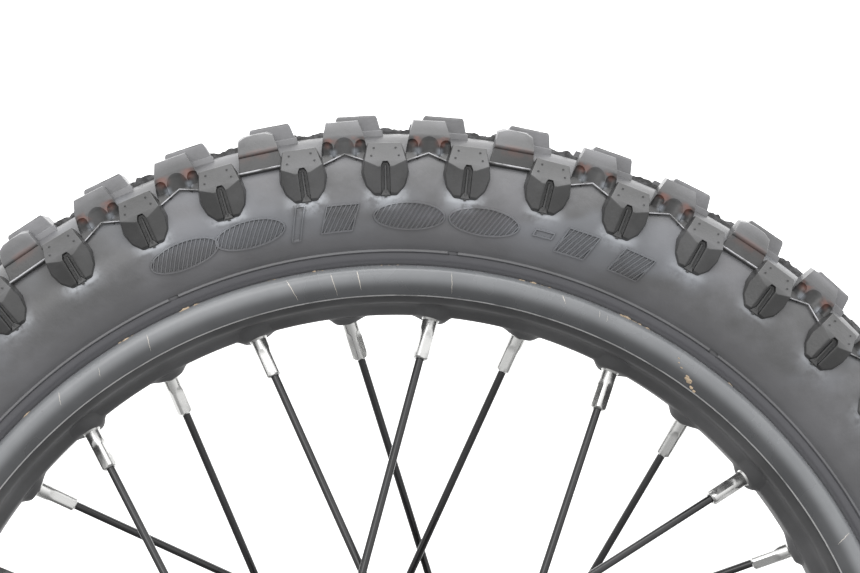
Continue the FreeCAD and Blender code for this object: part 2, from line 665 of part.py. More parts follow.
def make_collar(name, side):
    """Stepped collar between the inner race and the fork."""
    foot = BEARING_INNER_Y + BEARING_WIDTH
    step = foot + COLLAR_FOOT_LENGTH
    corners = ((foot, AXLE_R), (foot, COLLAR_FOOT_R), (step, COLLAR_FOOT_R), (step, COLLAR_R),
               (COLLAR_END_Y - COLLAR_CHAMFER, COLLAR_R), (COLLAR_END_Y, COLLAR_R - COLLAR_CHAMFER),
               (COLLAR_END_Y, AXLE_R))
    save(name + "_collar", turned(polygon(*[(side * y, radius) for y, radius in corners])))


def main():
    os.makedirs("parts", exist_ok=True)
    make_tyre()
    make_tube()
    make_valve()
    make_rim()
    make_spokes_and_nipples()
    make_hub()
    for name, side in (("right", -1), ("left", 1)):
        make_bearing(name, side)
        make_seal(name, side)
        make_collar(name, side)
    save("distance_tube", ring(AXLE_R, DISTANCE_TUBE_R, -BEARING_INNER_Y, BEARING_INNER_Y))


main()
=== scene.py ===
import math
import random

import bmesh
import bpy
from mathutils import Matrix, Vector, noise


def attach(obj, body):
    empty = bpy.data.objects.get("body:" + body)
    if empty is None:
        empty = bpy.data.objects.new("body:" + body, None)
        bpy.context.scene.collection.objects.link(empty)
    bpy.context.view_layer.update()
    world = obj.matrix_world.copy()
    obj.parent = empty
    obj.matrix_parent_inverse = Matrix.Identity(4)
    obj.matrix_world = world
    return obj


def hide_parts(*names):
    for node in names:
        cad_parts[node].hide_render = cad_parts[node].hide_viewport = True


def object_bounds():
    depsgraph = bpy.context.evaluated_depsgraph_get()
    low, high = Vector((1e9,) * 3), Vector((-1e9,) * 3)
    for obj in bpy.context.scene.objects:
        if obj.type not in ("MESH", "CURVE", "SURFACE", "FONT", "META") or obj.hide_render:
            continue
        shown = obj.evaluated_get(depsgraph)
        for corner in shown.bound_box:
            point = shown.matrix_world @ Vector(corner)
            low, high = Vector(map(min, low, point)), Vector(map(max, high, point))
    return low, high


# Looks of the spoked off-road wheel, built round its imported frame. The origin is the wheel's
# centre and the axle lies along Y, with -Y towards the camera. Sizes are in millimetres until
# a mesh is made. A place on the wheel is an angle in degrees from +Z towards +X, a radius and a
# distance along the axle. One on a tread block is (u, w, r): u along the tread, w sideways.

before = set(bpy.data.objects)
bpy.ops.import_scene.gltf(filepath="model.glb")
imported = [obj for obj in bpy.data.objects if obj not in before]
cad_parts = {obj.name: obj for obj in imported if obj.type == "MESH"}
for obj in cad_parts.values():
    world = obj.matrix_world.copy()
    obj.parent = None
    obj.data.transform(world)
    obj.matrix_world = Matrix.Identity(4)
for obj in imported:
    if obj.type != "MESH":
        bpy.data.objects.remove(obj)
cad_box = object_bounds()
random.seed(14)

MM = 0.001
BODY = "wheel"
SIDES = (-1, 1)
SHOWN_SIDE = -1  # the side that faces the camera

# ---- sizes shared with the frame, in millimetres ----
PITCHES = 48  # tread blocks round the tyre
PITCH = 360.0 / PITCHES
SPOKES = 32
SPOKE_STEP = 360.0 / SPOKES
SPOKE_PHASE = 5.625
SPOKE_R = 1.5
LEAN_OUTER = 28.125
LEAN_INNER = 16.875
LACING = ((-1, 1), (1, 1), (-1, -1), (1, -1))
HUB_HOLE_R = 54.6
FLANGE_Y = 36.0
FLANGE_T = 5.4
BEVEL_AT_HOLE = 3.6 * (HUB_HOLE_R - 50.0) / 10.6  # the outer face slopes by 3.6 over 10.6
ROW_OUTER_Y = FLANGE_Y + FLANGE_T / 2 - BEVEL_AT_HOLE + SPOKE_R + 0.35
ROW_INNER_Y = FLANGE_Y - FLANGE_T / 2 - SPOKE_R - 0.1
SPOKE_AIM_R = 180.0
SPOKE_AIM_Y = 1.5
SPOKE_BEND_R = 2.2
CENTRE_PHASE = 4.8
MIDDLE_PHASE = 3.5
SHOULDER_PHASE = -0.45


# ---- places ----
def at(angle, radius, y):
    """Point on the wheel, in millimetres."""
    turn = math.radians(angle)
    return Vector((radius * math.sin(turn), y, radius * math.cos(turn)))


def rounded(corners, radii):
    """Open path through 2-D corners, each turned with an arc of its own radius."""
    path = [corners[0]]
    for before, corner, after, radius in zip(corners, corners[1:], corners[2:], radii):
        corner = Vector(corner)
        to_start = (Vector(before) - corner).normalized()
        to_end = (Vector(after) - corner).normalized()
        half = to_start.angle(to_end) / 2
        reach = radius / math.tan(half)
        centre = corner + (to_start + to_end).normalized() * (radius / math.sin(half))
        first = corner + to_start * reach - centre
        sweep = math.pi - 2 * half
        if to_start.x * to_end.y - to_start.y * to_end.x > 0:
            sweep = -sweep
        for step in range(7):
            turn = Matrix.Rotation(sweep * step / 6, 2)
            path.append(tuple(centre + turn @ first))
    path.append(corners[-1])
    return path


def smooth(points, steps=6):
    """Catmull-Rom curve through 2-D points."""
    ends = [points[0]] + list(points) + [points[-1]]
    path = []
    for a, b, c, d in zip(ends, ends[1:], ends[2:], ends[3:]):
        for step in range(steps):
            t = step / steps
            path.append(tuple(
                0.5 * (2 * q + (r - p) * t + (2 * p - 5 * q + 4 * r - s) * t * t
                       + (3 * q - p - 3 * r + s) * t ** 3)
                for p, q, r, s in zip(a, b, c, d)))
    path.append(points[-1])
    return path


def mirrored(path):
    return [(-y, r) for y, r in reversed(path)]


def crossing(path, value, known=1):
    """The other coordinate where a 2-D path first reaches a value of the known one."""
    for first, second in zip(path, path[1:]):
        low, high = first[known], second[known]
        if low != high and min(low, high) <= value <= max(low, high):
            share = (value - low) / (high - low)
            return Vector(first).lerp(Vector(second), share)[1 - known]
    return path[-1][1 - known]


def turns(count):
    """Angles in radians of count even steps round a circle."""
    return [2 * math.pi * step / count for step in range(count)]


def directions(before, after):
    """Unit vectors from one 2-D point towards another, and to the left of that."""
    along = (Vector(after) - Vector(before)).normalized()
    return along, Vector((-along.y, along.x))


# ---- mesh makers ----
def put(thing, **settings):
    """The same thing with its settings changed."""
    for key, value in settings.items():
        setattr(thing, key, value)
    return thing


def linked(name, data):
    """New object of the scene with the given mesh, lamp or camera."""
    obj = bpy.data.objects.new(name, data)
    bpy.context.scene.collection.objects.link(obj)
    return obj


class Shell:
    """Points and faces of one piece, collected from several closed surfaces."""

    def __init__(self):
        self.points, self.faces, self.finishes = [], [], []

    def add(self, points, faces, finish=0):
        start = len(self.points)
        self.points.extend(tuple(point) for point in points)
        self.faces.extend(tuple(start + index for index in face) for face in faces)
        self.finishes.extend([finish] * len(faces))

    def mesh(self, name, scale):
        """Mesh of all the faces, each turned outwards."""
        mesh = bpy.data.meshes.new(name)
        mesh.from_pydata([Vector(point) * scale for point in self.points], [], self.faces)
        mesh.polygons.foreach_set("material_index", self.finishes)
        tidy = bmesh.new()
        tidy.from_mesh(mesh)
        bmesh.ops.recalc_face_normals(tidy, faces=tidy.faces)
        tidy.to_mesh(mesh)
        tidy.free()
        return mesh

    def piece(self, name, finishes, slot, replaces=(), sharp=35.0, weighted=False):
        """The finished object, riding on the wheel."""
        mesh = self.mesh(name, MM)
        for finish in finishes:
            mesh.materials.append(finish)
        mesh.shade_smooth()
        mesh.set_sharp_from_angle(angle=math.radians(sharp))
        obj = linked(name, mesh)
        if weighted:
            put(obj.modifiers.new("even_faces", "WEIGHTED_NORMAL"), keep_sharp=True)
        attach(obj, BODY)
        if replaces:
            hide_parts(*replaces)
        return obj


def grid_faces(rows, columns, close_rows=False, close_columns=False):
    """Quads between rows of points, row after row."""
    faces = []
    for row in range(rows if close_rows else rows - 1):
        low, high = row * columns, (row + 1) % rows * columns
        for column in range(columns if close_columns else columns - 1):
            following = (column + 1) % columns
            faces.append((low + column, low + following, high + following, high + column))
    return faces


def capped_faces(rows, columns):
    """Quads round a tube made of closed rows of points, and a face over each end."""
    last = (rows - 1) * columns
    ends = [tuple(range(columns)), tuple(range(last, last + columns))]
    return grid_faces(rows, columns, False, True) + ends


def lathe(shell, profile, steps, change=None):
    """Closed (y, radius) profile turned about the axle. change may move a point's y and r."""
    points = []
    for step in range(steps):
        angle = 360.0 * step / steps
        for index, (y, radius) in enumerate(profile):
            if change:
                y, radius = change(angle, index, y, radius)
            points.append(at(angle, radius, y))
    shell.add(points, grid_faces(steps, len(profile), True, True))


def ring(centre, across, upright, reach_at, sides):
    """Points round a centre. reach_at(turn) is how far out each one lies."""
    points = []
    for turn in turns(sides):
        direction = across * math.cos(turn) + upright * math.sin(turn)
        points.append(centre + direction * reach_at(turn))
    return points


def swept(shell, stops, sides):
    """Tube with capped ends along 3-D stops, each a point and the tube's radius there."""
    points = []
    frame_side = Vector((1, 0, 0))
    for step, (point, reach) in enumerate(stops):
        before = stops[max(step - 1, 0)][0]
        after = stops[min(step + 1, len(stops) - 1)][0]
        along = (after - before).normalized()
        frame_side = (frame_side - along * frame_side.dot(along)).normalized()
        points += ring(point, frame_side, along.cross(frame_side), lambda turn: reach, sides)
    shell.add(points, capped_faces(len(stops), sides))


def hull(*points, both=True):
    """Convex block through (u, w, r) points, each with its mirror image in u."""
    block = bmesh.new()
    for u, w, r in points:
        for sign in ((1, -1) if both and u else (1,)):
            block.verts.new((sign * u, w, r))
    result = bmesh.ops.convex_hull(block, input=block.verts[:])
    spare = [item for item in result["geom_interior"] if isinstance(item, bmesh.types.BMVert)]
    bmesh.ops.delete(block, geom=spare, context="VERTS")
    bmesh.ops.dissolve_limit(block, angle_limit=math.radians(3), verts=block.verts,
                             edges=block.edges)
    mesh = bpy.data.meshes.new("block")
    block.to_mesh(mesh)
    block.free()
    return mesh


def capsule(start, end, radius, u=0.0):
    """Round-ended cutter between two (w, r) points at a place u."""
    start, end = Vector((u, *start)), Vector((u, *end))
    along = (end - start).normalized()
    stops = []
    for step in range(8):
        tilt = math.radians(-88 + 88 * step / 7)
        stops.append((start + along * (radius * math.sin(tilt)), radius * math.cos(tilt)))
    tool = Shell()
    swept(tool, stops + [(end, radius)], 28)
    return tool.mesh("tool", 1.0)


def moulded(block, edge, segments=2, cutters=()):
    """A block with the cutters taken away and its edges rounded, as points and faces."""
    body = linked("block", block)
    helpers = [body]
    for cutter in cutters:
        tool = linked("tool", cutter)
        helpers.append(tool)
        cut = body.modifiers.new("cut", "BOOLEAN")
        put(cut, operation="DIFFERENCE", solver="EXACT", object=tool)
    bevel = body.modifiers.new("edges", "BEVEL")
    put(bevel, width=edge, segments=segments, limit_method="ANGLE", angle_limit=math.radians(28))
    graph = bpy.context.evaluated_depsgraph_get()
    mesh = bpy.data.meshes.new_from_object(body.evaluated_get(graph))
    points = [tuple(vertex.co) for vertex in mesh.vertices]
    faces = [tuple(polygon.vertices) for polygon in mesh.polygons]
    for helper in helpers:
        bpy.data.objects.remove(helper)
    return points, faces


def placed(points, angle, side):
    """Block points (u, w, r) set at an angle round the wheel, on one side of it."""
    turn = math.radians(angle)
    cos, sin = math.cos(turn), math.sin(turn)
    return [(u * cos + r * sin, side * w, r * cos - u * sin) for u, w, r in points]


# ---- tyre: casing ----
# EDGES is the pale finish of the thin bars along the ledges: a painted highlight of their edges.
ROUGH, BLOCKS, EDGES = 1, 2, 3  # the tyre's finishes, after the casing's
SKIN = [(0.0, 239.2), (6.5, 238.7), (13.0, 236.9), (20.0, 232.5), (24.6, 228.0), (27.2, 223.8),
        (29.2, 219.3), (30.2, 215.0), (30.3, 211.0), (29.8, 206.4), (28.4, 202.2), (25.6, 198.4),
        (23.2, 196.3)]
RIDGE = [(23.35, 196.0), (23.35, 195.5), (22.8, 195.2)]
NECK = [(22.1, 195.0), (21.7, 193.2), (20.9, 191.5), (19.3, 190.6), (17.6, 188.2), (17.6, 180.4),
        (16.0, 178.6), (9.4, 178.9), (9.8, 181.0), (12.4, 188.2), (18.6, 190.6), (23.6, 197.2),
        (26.4, 206.0), (26.4, 211.0), (25.2, 217.6), (23.2, 221.6), (15.5, 230.6), (8.0, 234.0),
        (0.0, 235.3)]
NOTCHES = 12  # gaps in the ridge, all round
NOTCH_STEP = 360.0 / NOTCHES
NOTCH_PHASE = 6.5
NOTCH_REACH = 0.4  # half of a gap, in degrees
NOTCH_DEPTH = 2.2
CASING_STEPS = 960


def skin_place(radius):
    """Half width of the casing's outer surface at a radius below its crown."""
    return crossing(smooth(SKIN, 6), radius)


def add_casing(shell):
    half = smooth(SKIN, 4) + RIDGE + NECK
    profile = half + mirrored(half)[1:-1]
    ridge = {index for index, point in enumerate(profile) if (abs(point[0]), point[1]) in RIDGE}

    def notched(angle, index, y, radius):
        if index in ridge:
            offset = (angle - NOTCH_PHASE + NOTCH_STEP / 2) % NOTCH_STEP - NOTCH_STEP / 2
            if abs(offset) < NOTCH_REACH:
                return math.copysign(abs(y) - NOTCH_DEPTH, y), radius
        return y, radius

    lathe(shell, profile, CASING_STEPS, notched)


# ---- tyre: tread blocks ----
def centre_block():
    """Wide block over the tyre's middle, standing on a low step."""
    top = hull((7.0, 8.8, 245.5), (7.0, -8.8, 245.5), (7.5, 9.2, 244.5), (7.5, -9.2, 244.5),
               (8.6, 9.5, 239.6), (8.6, -9.5, 239.6), (8.7, 9.5, 236.0), (8.7, -9.5, 236.0))
    step = hull((9.1, 10.6, 239.8), (9.1, -10.6, 239.8), (9.4, 11.2, 237.0), (9.4, -11.2, 237.0),
                (9.4, 11.2, 234.5), (9.4, -11.2, 234.5))
    return [moulded(top, 0.45), moulded(step, 0.3)]


def middle_block_scooped():
    """Block with a sloping crown face, and three hollows down its outer side."""
    block = hull((5.9, 11.6, 243.7), (5.7, 18.9, 242.9), (7.2, 23.2, 238.0), (8.2, 24.8, 232.5),
                 (8.3, 26.0, 226.6), (8.4, 20.0, 224.0), (6.9, 10.8, 238.0), (7.4, 10.6, 232.0))
    cutters = [capsule((27.9, 234.9), (27.0, 223.0), 5.0)]
    for sign in SIDES:
        cutters.append(capsule((25.3, 234.2), (25.0, 224.0), 2.3, sign * 6.1))
    return [moulded(block, 0.9, 3, cutters)]


LEDGE_PEAK = (0.0, 23.0, 231.2)
LEDGE_END = (8.0, 26.0, 227.8)


def middle_ledge_bent():
    """Ledge at a scooped block's foot, highest in its middle."""
    pieces = []
    for sign in SIDES:
        u, w, r = LEDGE_END
        ends = [(0, 20.4, 233.0), LEDGE_PEAK, (0, 16.0, 230.0),
                (sign * 8.3, 23.8, 231.0), (sign * u, w, r), (sign * 8.3, 18.0, 227.0)]
        pieces.append(moulded(hull(*ends, both=False), 0.1))
    return pieces


def small_bar(start, end, half=0.26):
    """Thin bar between two (u, w, r) places, that carries a ledge edge's painted highlight."""
    corners = []
    for u, w, r in (start, end):
        corners += [(u, w - half, r + half), (u, w + half, r + half * 0.4),
                    (u, w + half * 0.4, r - half), (u, w - half, r - half)]
    return moulded(hull(*corners, both=False), 0.08, 1)


def middle_edges_bent():
    u, w, r = LEDGE_END
    return [small_bar(LEDGE_PEAK, (sign * u, w, r)) for sign in SIDES]


def middle_block_plain():
    """Block with a domed crown face, a step across its outer side and a ledge at its foot."""
    crown = hull((4.4, 11.6, 243.7), (6.5, 11.8, 242.6), (0, 18.9, 243.0), (3.6, 18.9, 242.7),
                 (6.4, 18.8, 241.5), (7.2, 23.8, 236.4), (7.3, 23.7, 235.4), (7.4, 16.0, 231.0),
                 (6.9, 10.8, 237.0), (7.4, 10.6, 232.0))
    foot = hull((7.1, 21.0, 236.8), (7.1, 23.2, 236.0), (8.2, 24.2, 229.6), (8.2, 24.0, 228.4),
                (8.2, 18.0, 228.0))
    ledge = hull((8.6, 21.0, 230.6), (8.6, 25.0, 229.9), (8.6, 24.9, 229.2), (8.6, 23.6, 228.4),
                 (8.6, 19.0, 228.0))
    return [moulded(crown, 0.4), moulded(foot, 0.3), moulded(ledge, 0.2)]


def shoulder_block():
    """Block on the tyre's shoulder: a sloping face above two lobes with a slot between."""
    block = hull((5.6, 19.5, 234.8), (6.0, 25.3, 234.4), (7.4, 31.9, 227.8), (2.7, 33.4, 225.6),
                 (7.8, 30.9, 223.4), (6.7, 30.5, 219.1), (4.1, 31.0, 216.2), (2.3, 31.7, 216.2),
                 (4.2, 29.2, 214.6), (7.2, 28.0, 217.8), (8.7, 26.5, 223.2), (8.2, 24.0, 228.0),
                 (6.7, 17.4, 232.4), (6.7, 22.0, 221.0))
    slot = hull((1.55, 30.2, 225.7), (1.55, 36.0, 226.2), (0.85, 30.2, 227.2), (0.85, 36.0, 227.9),
                (1.75, 30.0, 208.0), (1.75, 36.0, 208.0))
    mouth = hull((0, 31.9, 208.0), (0, 31.9, 226.6), (3.5, 35.3, 208.0), (3.5, 35.3, 226.6),
                 (0, 34.5, 229.8))
    rib = hull((0.45, 29.5, 226.4), (0.35, 31.3, 226.0), (0.35, 31.3, 217.0), (0.5, 30.9, 214.6),
               (0.45, 29.0, 214.6))
    wedge = hull((1.75, 31.2, 215.4), (1.75, 29.5, 214.8), (0.3, 31.0, 217.9), (0.3, 30.0, 218.4))
    pieces = [moulded(block, 0.25, 2, (mouth, slot)), moulded(rib, 0.12), moulded(wedge, 0.15)]
    for u, w, r in ((3.9, 27.4, 232.6), (4.9, 30.3, 229.7)):
        for sign in SIDES:
            at_u = sign * u
            pip = hull((at_u - 0.5, w - 0.2, r - 0.25), (at_u + 0.5, w - 0.2, r - 0.25),
                       (at_u, w + 0.2, r - 0.7), (at_u, w - 0.6, r + 0.15),
                       (at_u - 0.25, w + 0.25, r + 0.2), (at_u + 0.25, w + 0.25, r + 0.2),
                       both=False)
            pieces.append(moulded(pip, 0.02, 1))
    return pieces


def add_blocks(shell):
    """Every row of blocks: its pieces, first angle, cycle, places in that, sides and finish."""
    plain_edge = small_bar((-8.5, 25.0, 229.8), (8.5, 25.0, 229.8), 0.3)
    rows = ((centre_block(), CENTRE_PHASE, 1, (0,), (1,), BLOCKS),
            (middle_block_scooped() + middle_ledge_bent(), MIDDLE_PHASE, 3, (0, 2), SIDES, BLOCKS),
            (middle_edges_bent(), MIDDLE_PHASE, 3, (0, 2), SIDES, EDGES),
            (middle_block_plain(), MIDDLE_PHASE, 3, (1,), SIDES, BLOCKS),
            ([plain_edge], MIDDLE_PHASE, 3, (1,), SIDES, EDGES),
            (shoulder_block(), SHOULDER_PHASE, 1, (0,), SIDES, BLOCKS))
    for pieces, phase, cycle, picks, sides, finish in rows:
        for number in range(PITCHES):
            if number % cycle not in picks:
                continue
            for side in sides:
                for points, faces in pieces:
                    shell.add(placed(points, phase + number * PITCH, side), faces, finish)


# ---- tyre: rough bars between the centre blocks ----
BAR_COLUMNS = 25  # points along a bar, and across it
BAR_ROWS = 9
BAR_START = 2.0  # degrees between a block's middle and a bar's end
BAR_W = -5.0
BAR_WIDTH = 10.5
BAR_FOOT_R = 237.0
BAR_EDGE_R = 238.0
BAR_RISE = 2.7
BAR_ROUGH = 1.6


def add_centre_bars(shell):
    """Low rough bars that join the centre blocks along the middle of the tread."""
    for number in range(PITCHES):
        start = CENTRE_PHASE + number * PITCH + BAR_START
        points = []
        for column in range(BAR_COLUMNS):
            angle = start + (PITCH - 2 * BAR_START) * column / (BAR_COLUMNS - 1)
            for row in range(BAR_ROWS):
                share = row / (BAR_ROWS - 1)
                w = BAR_W + BAR_WIDTH * share
                edge = min(1.0, (1 - abs(2 * share - 1)) * 2.4)
                rough = noise.fractal(Vector((angle * 0.9, w * 0.3, number * 3.7)), 1.0, 2.1, 3)
                radius = BAR_EDGE_R + edge * (BAR_RISE + BAR_ROUGH * rough)
                points.append(at(angle, radius, w + 0.5 * rough))
            points += [at(angle, BAR_FOOT_R, w) for w in (BAR_W + BAR_WIDTH, BAR_W)]
        shell.add(points, capped_faces(BAR_COLUMNS, BAR_ROWS + 2), ROUGH)


# ---- tyre: raised pattern of hatched ovals and bars ----
PATTERN_R = 208.2
OVAL = (12.6, 4.7)  # half length and half height
RIB_HALF = 0.34
RIB_LIFT = 0.8
RIB_FOOT = -0.25  # how far below the skin a rib starts
HATCH_HALF = 0.3
HATCH_STEP = 1.45
HATCH_TILT = math.radians(58)
HATCH_INSET = 0.3  # between a line's end and the outline
HATCH_LEAST = 1.6  # shortest line that is drawn


def skin_point(angle, radius, lift, side):
    """Point over the sidewall, lifted along its surface's normal."""
    w = skin_place(radius)
    slope = (skin_place(radius - 0.5) - skin_place(radius + 0.5))
    normal = Vector((1.0, slope)).normalized()
    return at(angle, radius + lift * normal.y, side * (w + lift * normal.x))


def add_rib(shell, path, closed, centre_angle, side, half=RIB_HALF):
    """Small ridge along a path of (s, h) places about the pattern's circle."""
    count = len(path)
    points = []
    for index, place in enumerate(path):
        before = path[index - 1] if closed or index else place
        after = path[(index + 1) % count] if closed or index < count - 1 else place
        _, across = directions(before, after)
        for shift, height in ((-1.5, RIB_FOOT), (-0.6, RIB_LIFT), (0.6, RIB_LIFT), (1.5, RIB_FOOT)):
            s, h = Vector(place) + across * (half * shift)
            angle = centre_angle + math.degrees(s / PATTERN_R)
            points.append(skin_point(angle, PATTERN_R + h, height, side))
    shell.add(points, grid_faces(count, 4, True, True) if closed else capped_faces(count, 4))


def bar_outline(half_length, half_height, lean):
    corners = [(-half_length - lean, -half_height), (half_length - lean, -half_height),
               (half_length + lean, half_height), (-half_length + lean, half_height)]
    path = []
    for index, corner in enumerate(corners):
        following = Vector(corners[(index + 1) % 4])
        for step in range(8):
            path.append(tuple(Vector(corner).lerp(following, step / 8)))
    return path


def hatch_lines(outline):
    """Slanting lines cut to a convex outline, pulled in a little from its edge."""
    direction = Vector((math.cos(HATCH_TILT), math.sin(HATCH_TILT)))
    across = Vector((-direction.y, direction.x))
    turned = [(Vector(point).dot(direction), Vector(point).dot(across)) for point in outline]
    count = int(max(abs(h) for _, h in turned) / HATCH_STEP)
    lines = []
    for number in range(-count, count + 1):
        offset = number * HATCH_STEP
        meets = []
        for (s, h), (next_s, next_h) in zip(turned, turned[1:] + turned[:1]):
            if (h - offset) * (next_h - offset) < 0:
                meets.append(s + (next_s - s) * (offset - h) / (next_h - h))
        if len(meets) == 2 and max(meets) - min(meets) > HATCH_LEAST:
            start = across * offset + direction * (min(meets) + HATCH_INSET)
            end = across * offset + direction * (max(meets) - HATCH_INSET)
            lines.append([tuple(start.lerp(end, step / 5)) for step in range(6)])
    return lines


def add_pattern(shell, side):
    """Generic band of ornament, in the place of the size marking."""
    oval = [(OVAL[0] * math.cos(turn), OVAL[1] * math.sin(turn)) for turn in turns(40)]
    bar = bar_outline(5.6, 4.6, 1.6)
    slim = bar_outline(1.5, 5.8, 1.7)
    dash = bar_outline(3.4, 1.1, 0.4)
    marks = ((-20.6, oval), (-13.9, oval), (-9.1, slim), (-5.0, bar), (1.8, oval), (9.2, oval),
             (15.2, dash), (18.6, bar), (24.4, bar))
    for centre in (0.0, 180.0):
        for angle, outline in marks:
            add_rib(shell, outline, True, centre + angle, side)
            if outline in (oval, bar):
                for line in hatch_lines(outline):
                    add_rib(shell, line, False, centre + angle, side, HATCH_HALF)


def make_tyre(finishes):
    shell = Shell()
    add_casing(shell)
    add_blocks(shell)
    add_centre_bars(shell)
    for side in SIDES:
        add_pattern(shell, side)
    return shell.piece("tyre_moulding", finishes, "tyre_rubber", ("tyre",), 38.0, True)


# ---- rim ----
RIM_STEPS = 640
SHEET_HALF = 0.9
WELL_R = 173.0  # middle of the sheet; the CAD's well is a little deeper
RIM_WELL = [(5.6, WELL_R), (10.4, 177.6), (18.65, 177.6), (18.65, 186.0)]
WELL_RADII = [3.0, 8.5, 4.2]
CURL = [(18.65, 186.0), (19.2, 188.4), (21.2, 189.6), (23.6, 189.5), (25.0, 188.3), (25.3, 186.0),
        (24.9, 183.0), (23.8, 180.4)]
CURL_TOP = 190.4  # crest of the flange
CREST_W = 23.3  # and its distance from the wheel's middle
BOSS_REACH = 8.2
BOSS_REACH_Y = 8.6
BOSS_HEIGHT = 1.35
BOSS_FLAT = 0.14  # share of its reach that stays level
BOSS_HOLE_R = 3.25
BOSS_HOLE_EDGE = 0.35
BOSS_HOLE_DEPTH = 3.4
BOSS_RINGS = 12
BOSS_SIDES = 40


def thick(path, half):
    """Closed outline of a sheet that follows a path, with round ends."""
    left, right = [], []
    for index, point in enumerate(path):
        before, after = path[max(index - 1, 0)], path[min(index + 1, len(path) - 1)]
        _, across = directions(before, after)
        left.append(tuple(Vector(point) + across * half))
        right.append(tuple(Vector(point) - across * half))
    ends = []
    for point, neighbour in ((path[-1], path[-2]), (path[0], path[1])):
        along, across = directions(neighbour, point)
        cap = []
        for step in range(1, 5):
            turn = math.pi * step / 5
            reach = across * (half * math.cos(turn)) + along * (half * math.sin(turn))
            cap.append(tuple(Vector(point) + reach))
        ends.append(cap)
    return left + ends[0] + right[::-1] + ends[1]


def spoke_line(number):
    """Side, row, elbow and aim of one spoke."""
    side, sign = LACING[number % 4]
    outer = side * sign < 0
    lean = LEAN_OUTER if outer else LEAN_INNER
    rim_angle = SPOKE_PHASE + number * SPOKE_STEP
    row_y = side * (ROW_OUTER_Y if outer else ROW_INNER_Y)
    elbow = at(rim_angle - sign * lean, HUB_HOLE_R, row_y)
    aim = at(rim_angle, SPOKE_AIM_R, side * SPOKE_AIM_Y)
    return side, outer, elbow, aim


def on_line(elbow, aim, radius):
    """Point of a spoke's line at a distance from the axle."""
    step = aim - elbow
    a = step.x ** 2 + step.z ** 2
    b = elbow.x * step.x + elbow.z * step.z
    c = elbow.x ** 2 + elbow.z ** 2 - radius ** 2
    return elbow + step * ((-b + math.sqrt(b * b - a * c)) / a)


def well_under(y):
    """Radius of the rim's inside surface, towards the hub, at a place along the axle."""
    path = rounded([(-5.0, WELL_R)] + RIM_WELL[:3], WELL_RADII[:2])
    return crossing(path, abs(y), 0) - SHEET_HALF * 1.05


def add_boss(shell, number):
    """Pressed boss of the rim round one nipple, with the nipple's hole in it."""
    _, _, elbow, aim = spoke_line(number)
    line = (aim - elbow).normalized()
    face = on_line(elbow, aim, WELL_R - SHEET_HALF - BOSS_HEIGHT)
    angle = math.degrees(math.atan2(face.x, face.z))
    out = at(angle, 1.0, 0)
    along = at(angle + 90.0, 1.0, 0)
    start = BOSS_HOLE_R + BOSS_HOLE_EDGE
    points = []
    for depth, reach in ((BOSS_HOLE_DEPTH, BOSS_HOLE_R - 0.1), (BOSS_HOLE_EDGE, BOSS_HOLE_R)):
        for turn in turns(BOSS_SIDES):
            across = along * (reach * math.cos(turn)) + Vector((0, reach * math.sin(turn), 0))
            across -= line * across.dot(line)
            points.append(face + across + line * depth)
    for ring_number in range(BOSS_RINGS):
        share = ring_number / (BOSS_RINGS - 1)
        fall = max(0.0, (share - BOSS_FLAT) / (1 - BOSS_FLAT))
        fall = fall * fall * (3 - 2 * fall)
        for turn in turns(BOSS_SIDES):
            s = math.cos(turn) * (start + (BOSS_REACH - start) * share)
            y = face.y + math.sin(turn) * (start + (BOSS_REACH_Y - start) * share)
            tilt = s * line.dot(along) + (y - face.y) * line.y
            plateau = math.hypot(face.x, face.z) - tilt
            level = (well_under(y) - 0.1) * fall + plateau * (1 - fall)
            points.append(out * level + along * s + Vector((0, y, 0)))
    points += [point + out for point in points[-BOSS_SIDES:]]
    shell.add(points, capped_faces(BOSS_RINGS + 3, BOSS_SIDES))


def make_rim(finish):
    shell = Shell()
    half = rounded([(0.0, WELL_R)] + RIM_WELL, WELL_RADII)[1:-1] + smooth(CURL, 5)
    path = mirrored(half) + half
    lathe(shell, thick(path, SHEET_HALF), RIM_STEPS)
    for number in range(SPOKES):
        add_boss(shell, number)
    return shell.piece("rim_rolled", [finish], "rim_black", ("rim",), 40.0)


# ---- spokes and nipples ----
NIPPLE_END_R = 156.2
NIPPLE_ROUND_R = 165.8
NIPPLE_TOP_R = 173.6
NIPPLE_BODY_R = 2.92
NIPPLE_HEAD_R = 3.9
NIPPLE_SIDES = 48
SQUARE_HALF = 2.5
CUTTER_R = 9.0  # mill that leaves a scallop where the flats end
RUN_OUT = 1.6
SPOKE_END_R = 168.0
HEAD_PROFILE = ((1.7, 1.7), (1.55, 2.1), (0.1, 2.85), (0.0, 2.75), (-0.15, SPOKE_R))
HEAD_REACH = FLANGE_T + 1.2 + SPOKE_R  # from the elbow to the head
BEND_STEPS = 10


def add_spoke(shell, side, outer, elbow, aim):
    """Straight wire, elbow and flattened head."""
    inwards = Vector((0, -side if outer else side, 0))
    line = (aim - elbow).normalized()
    half = inwards.angle(line) / 2
    setback = SPOKE_BEND_R / math.tan(half)
    middle = (inwards + line).normalized()
    centre = elbow + middle * (SPOKE_BEND_R / math.sin(half))
    head = elbow + inwards * HEAD_REACH
    start = elbow + inwards * setback - centre
    finish = elbow + line * setback - centre
    axis = start.cross(finish).normalized()
    sweep = start.angle(finish)
    stops = [(head + inwards * depth, reach) for depth, reach in HEAD_PROFILE]
    for step in range(BEND_STEPS + 1):
        turn = Matrix.Rotation(sweep * step / BEND_STEPS, 3, axis)
        stops.append((centre + turn @ start, SPOKE_R))
    for radius in (100.0, NIPPLE_END_R + 0.5, SPOKE_END_R):
        stops.append((on_line(elbow, aim, radius), SPOKE_R))
    swept(shell, stops, 20)


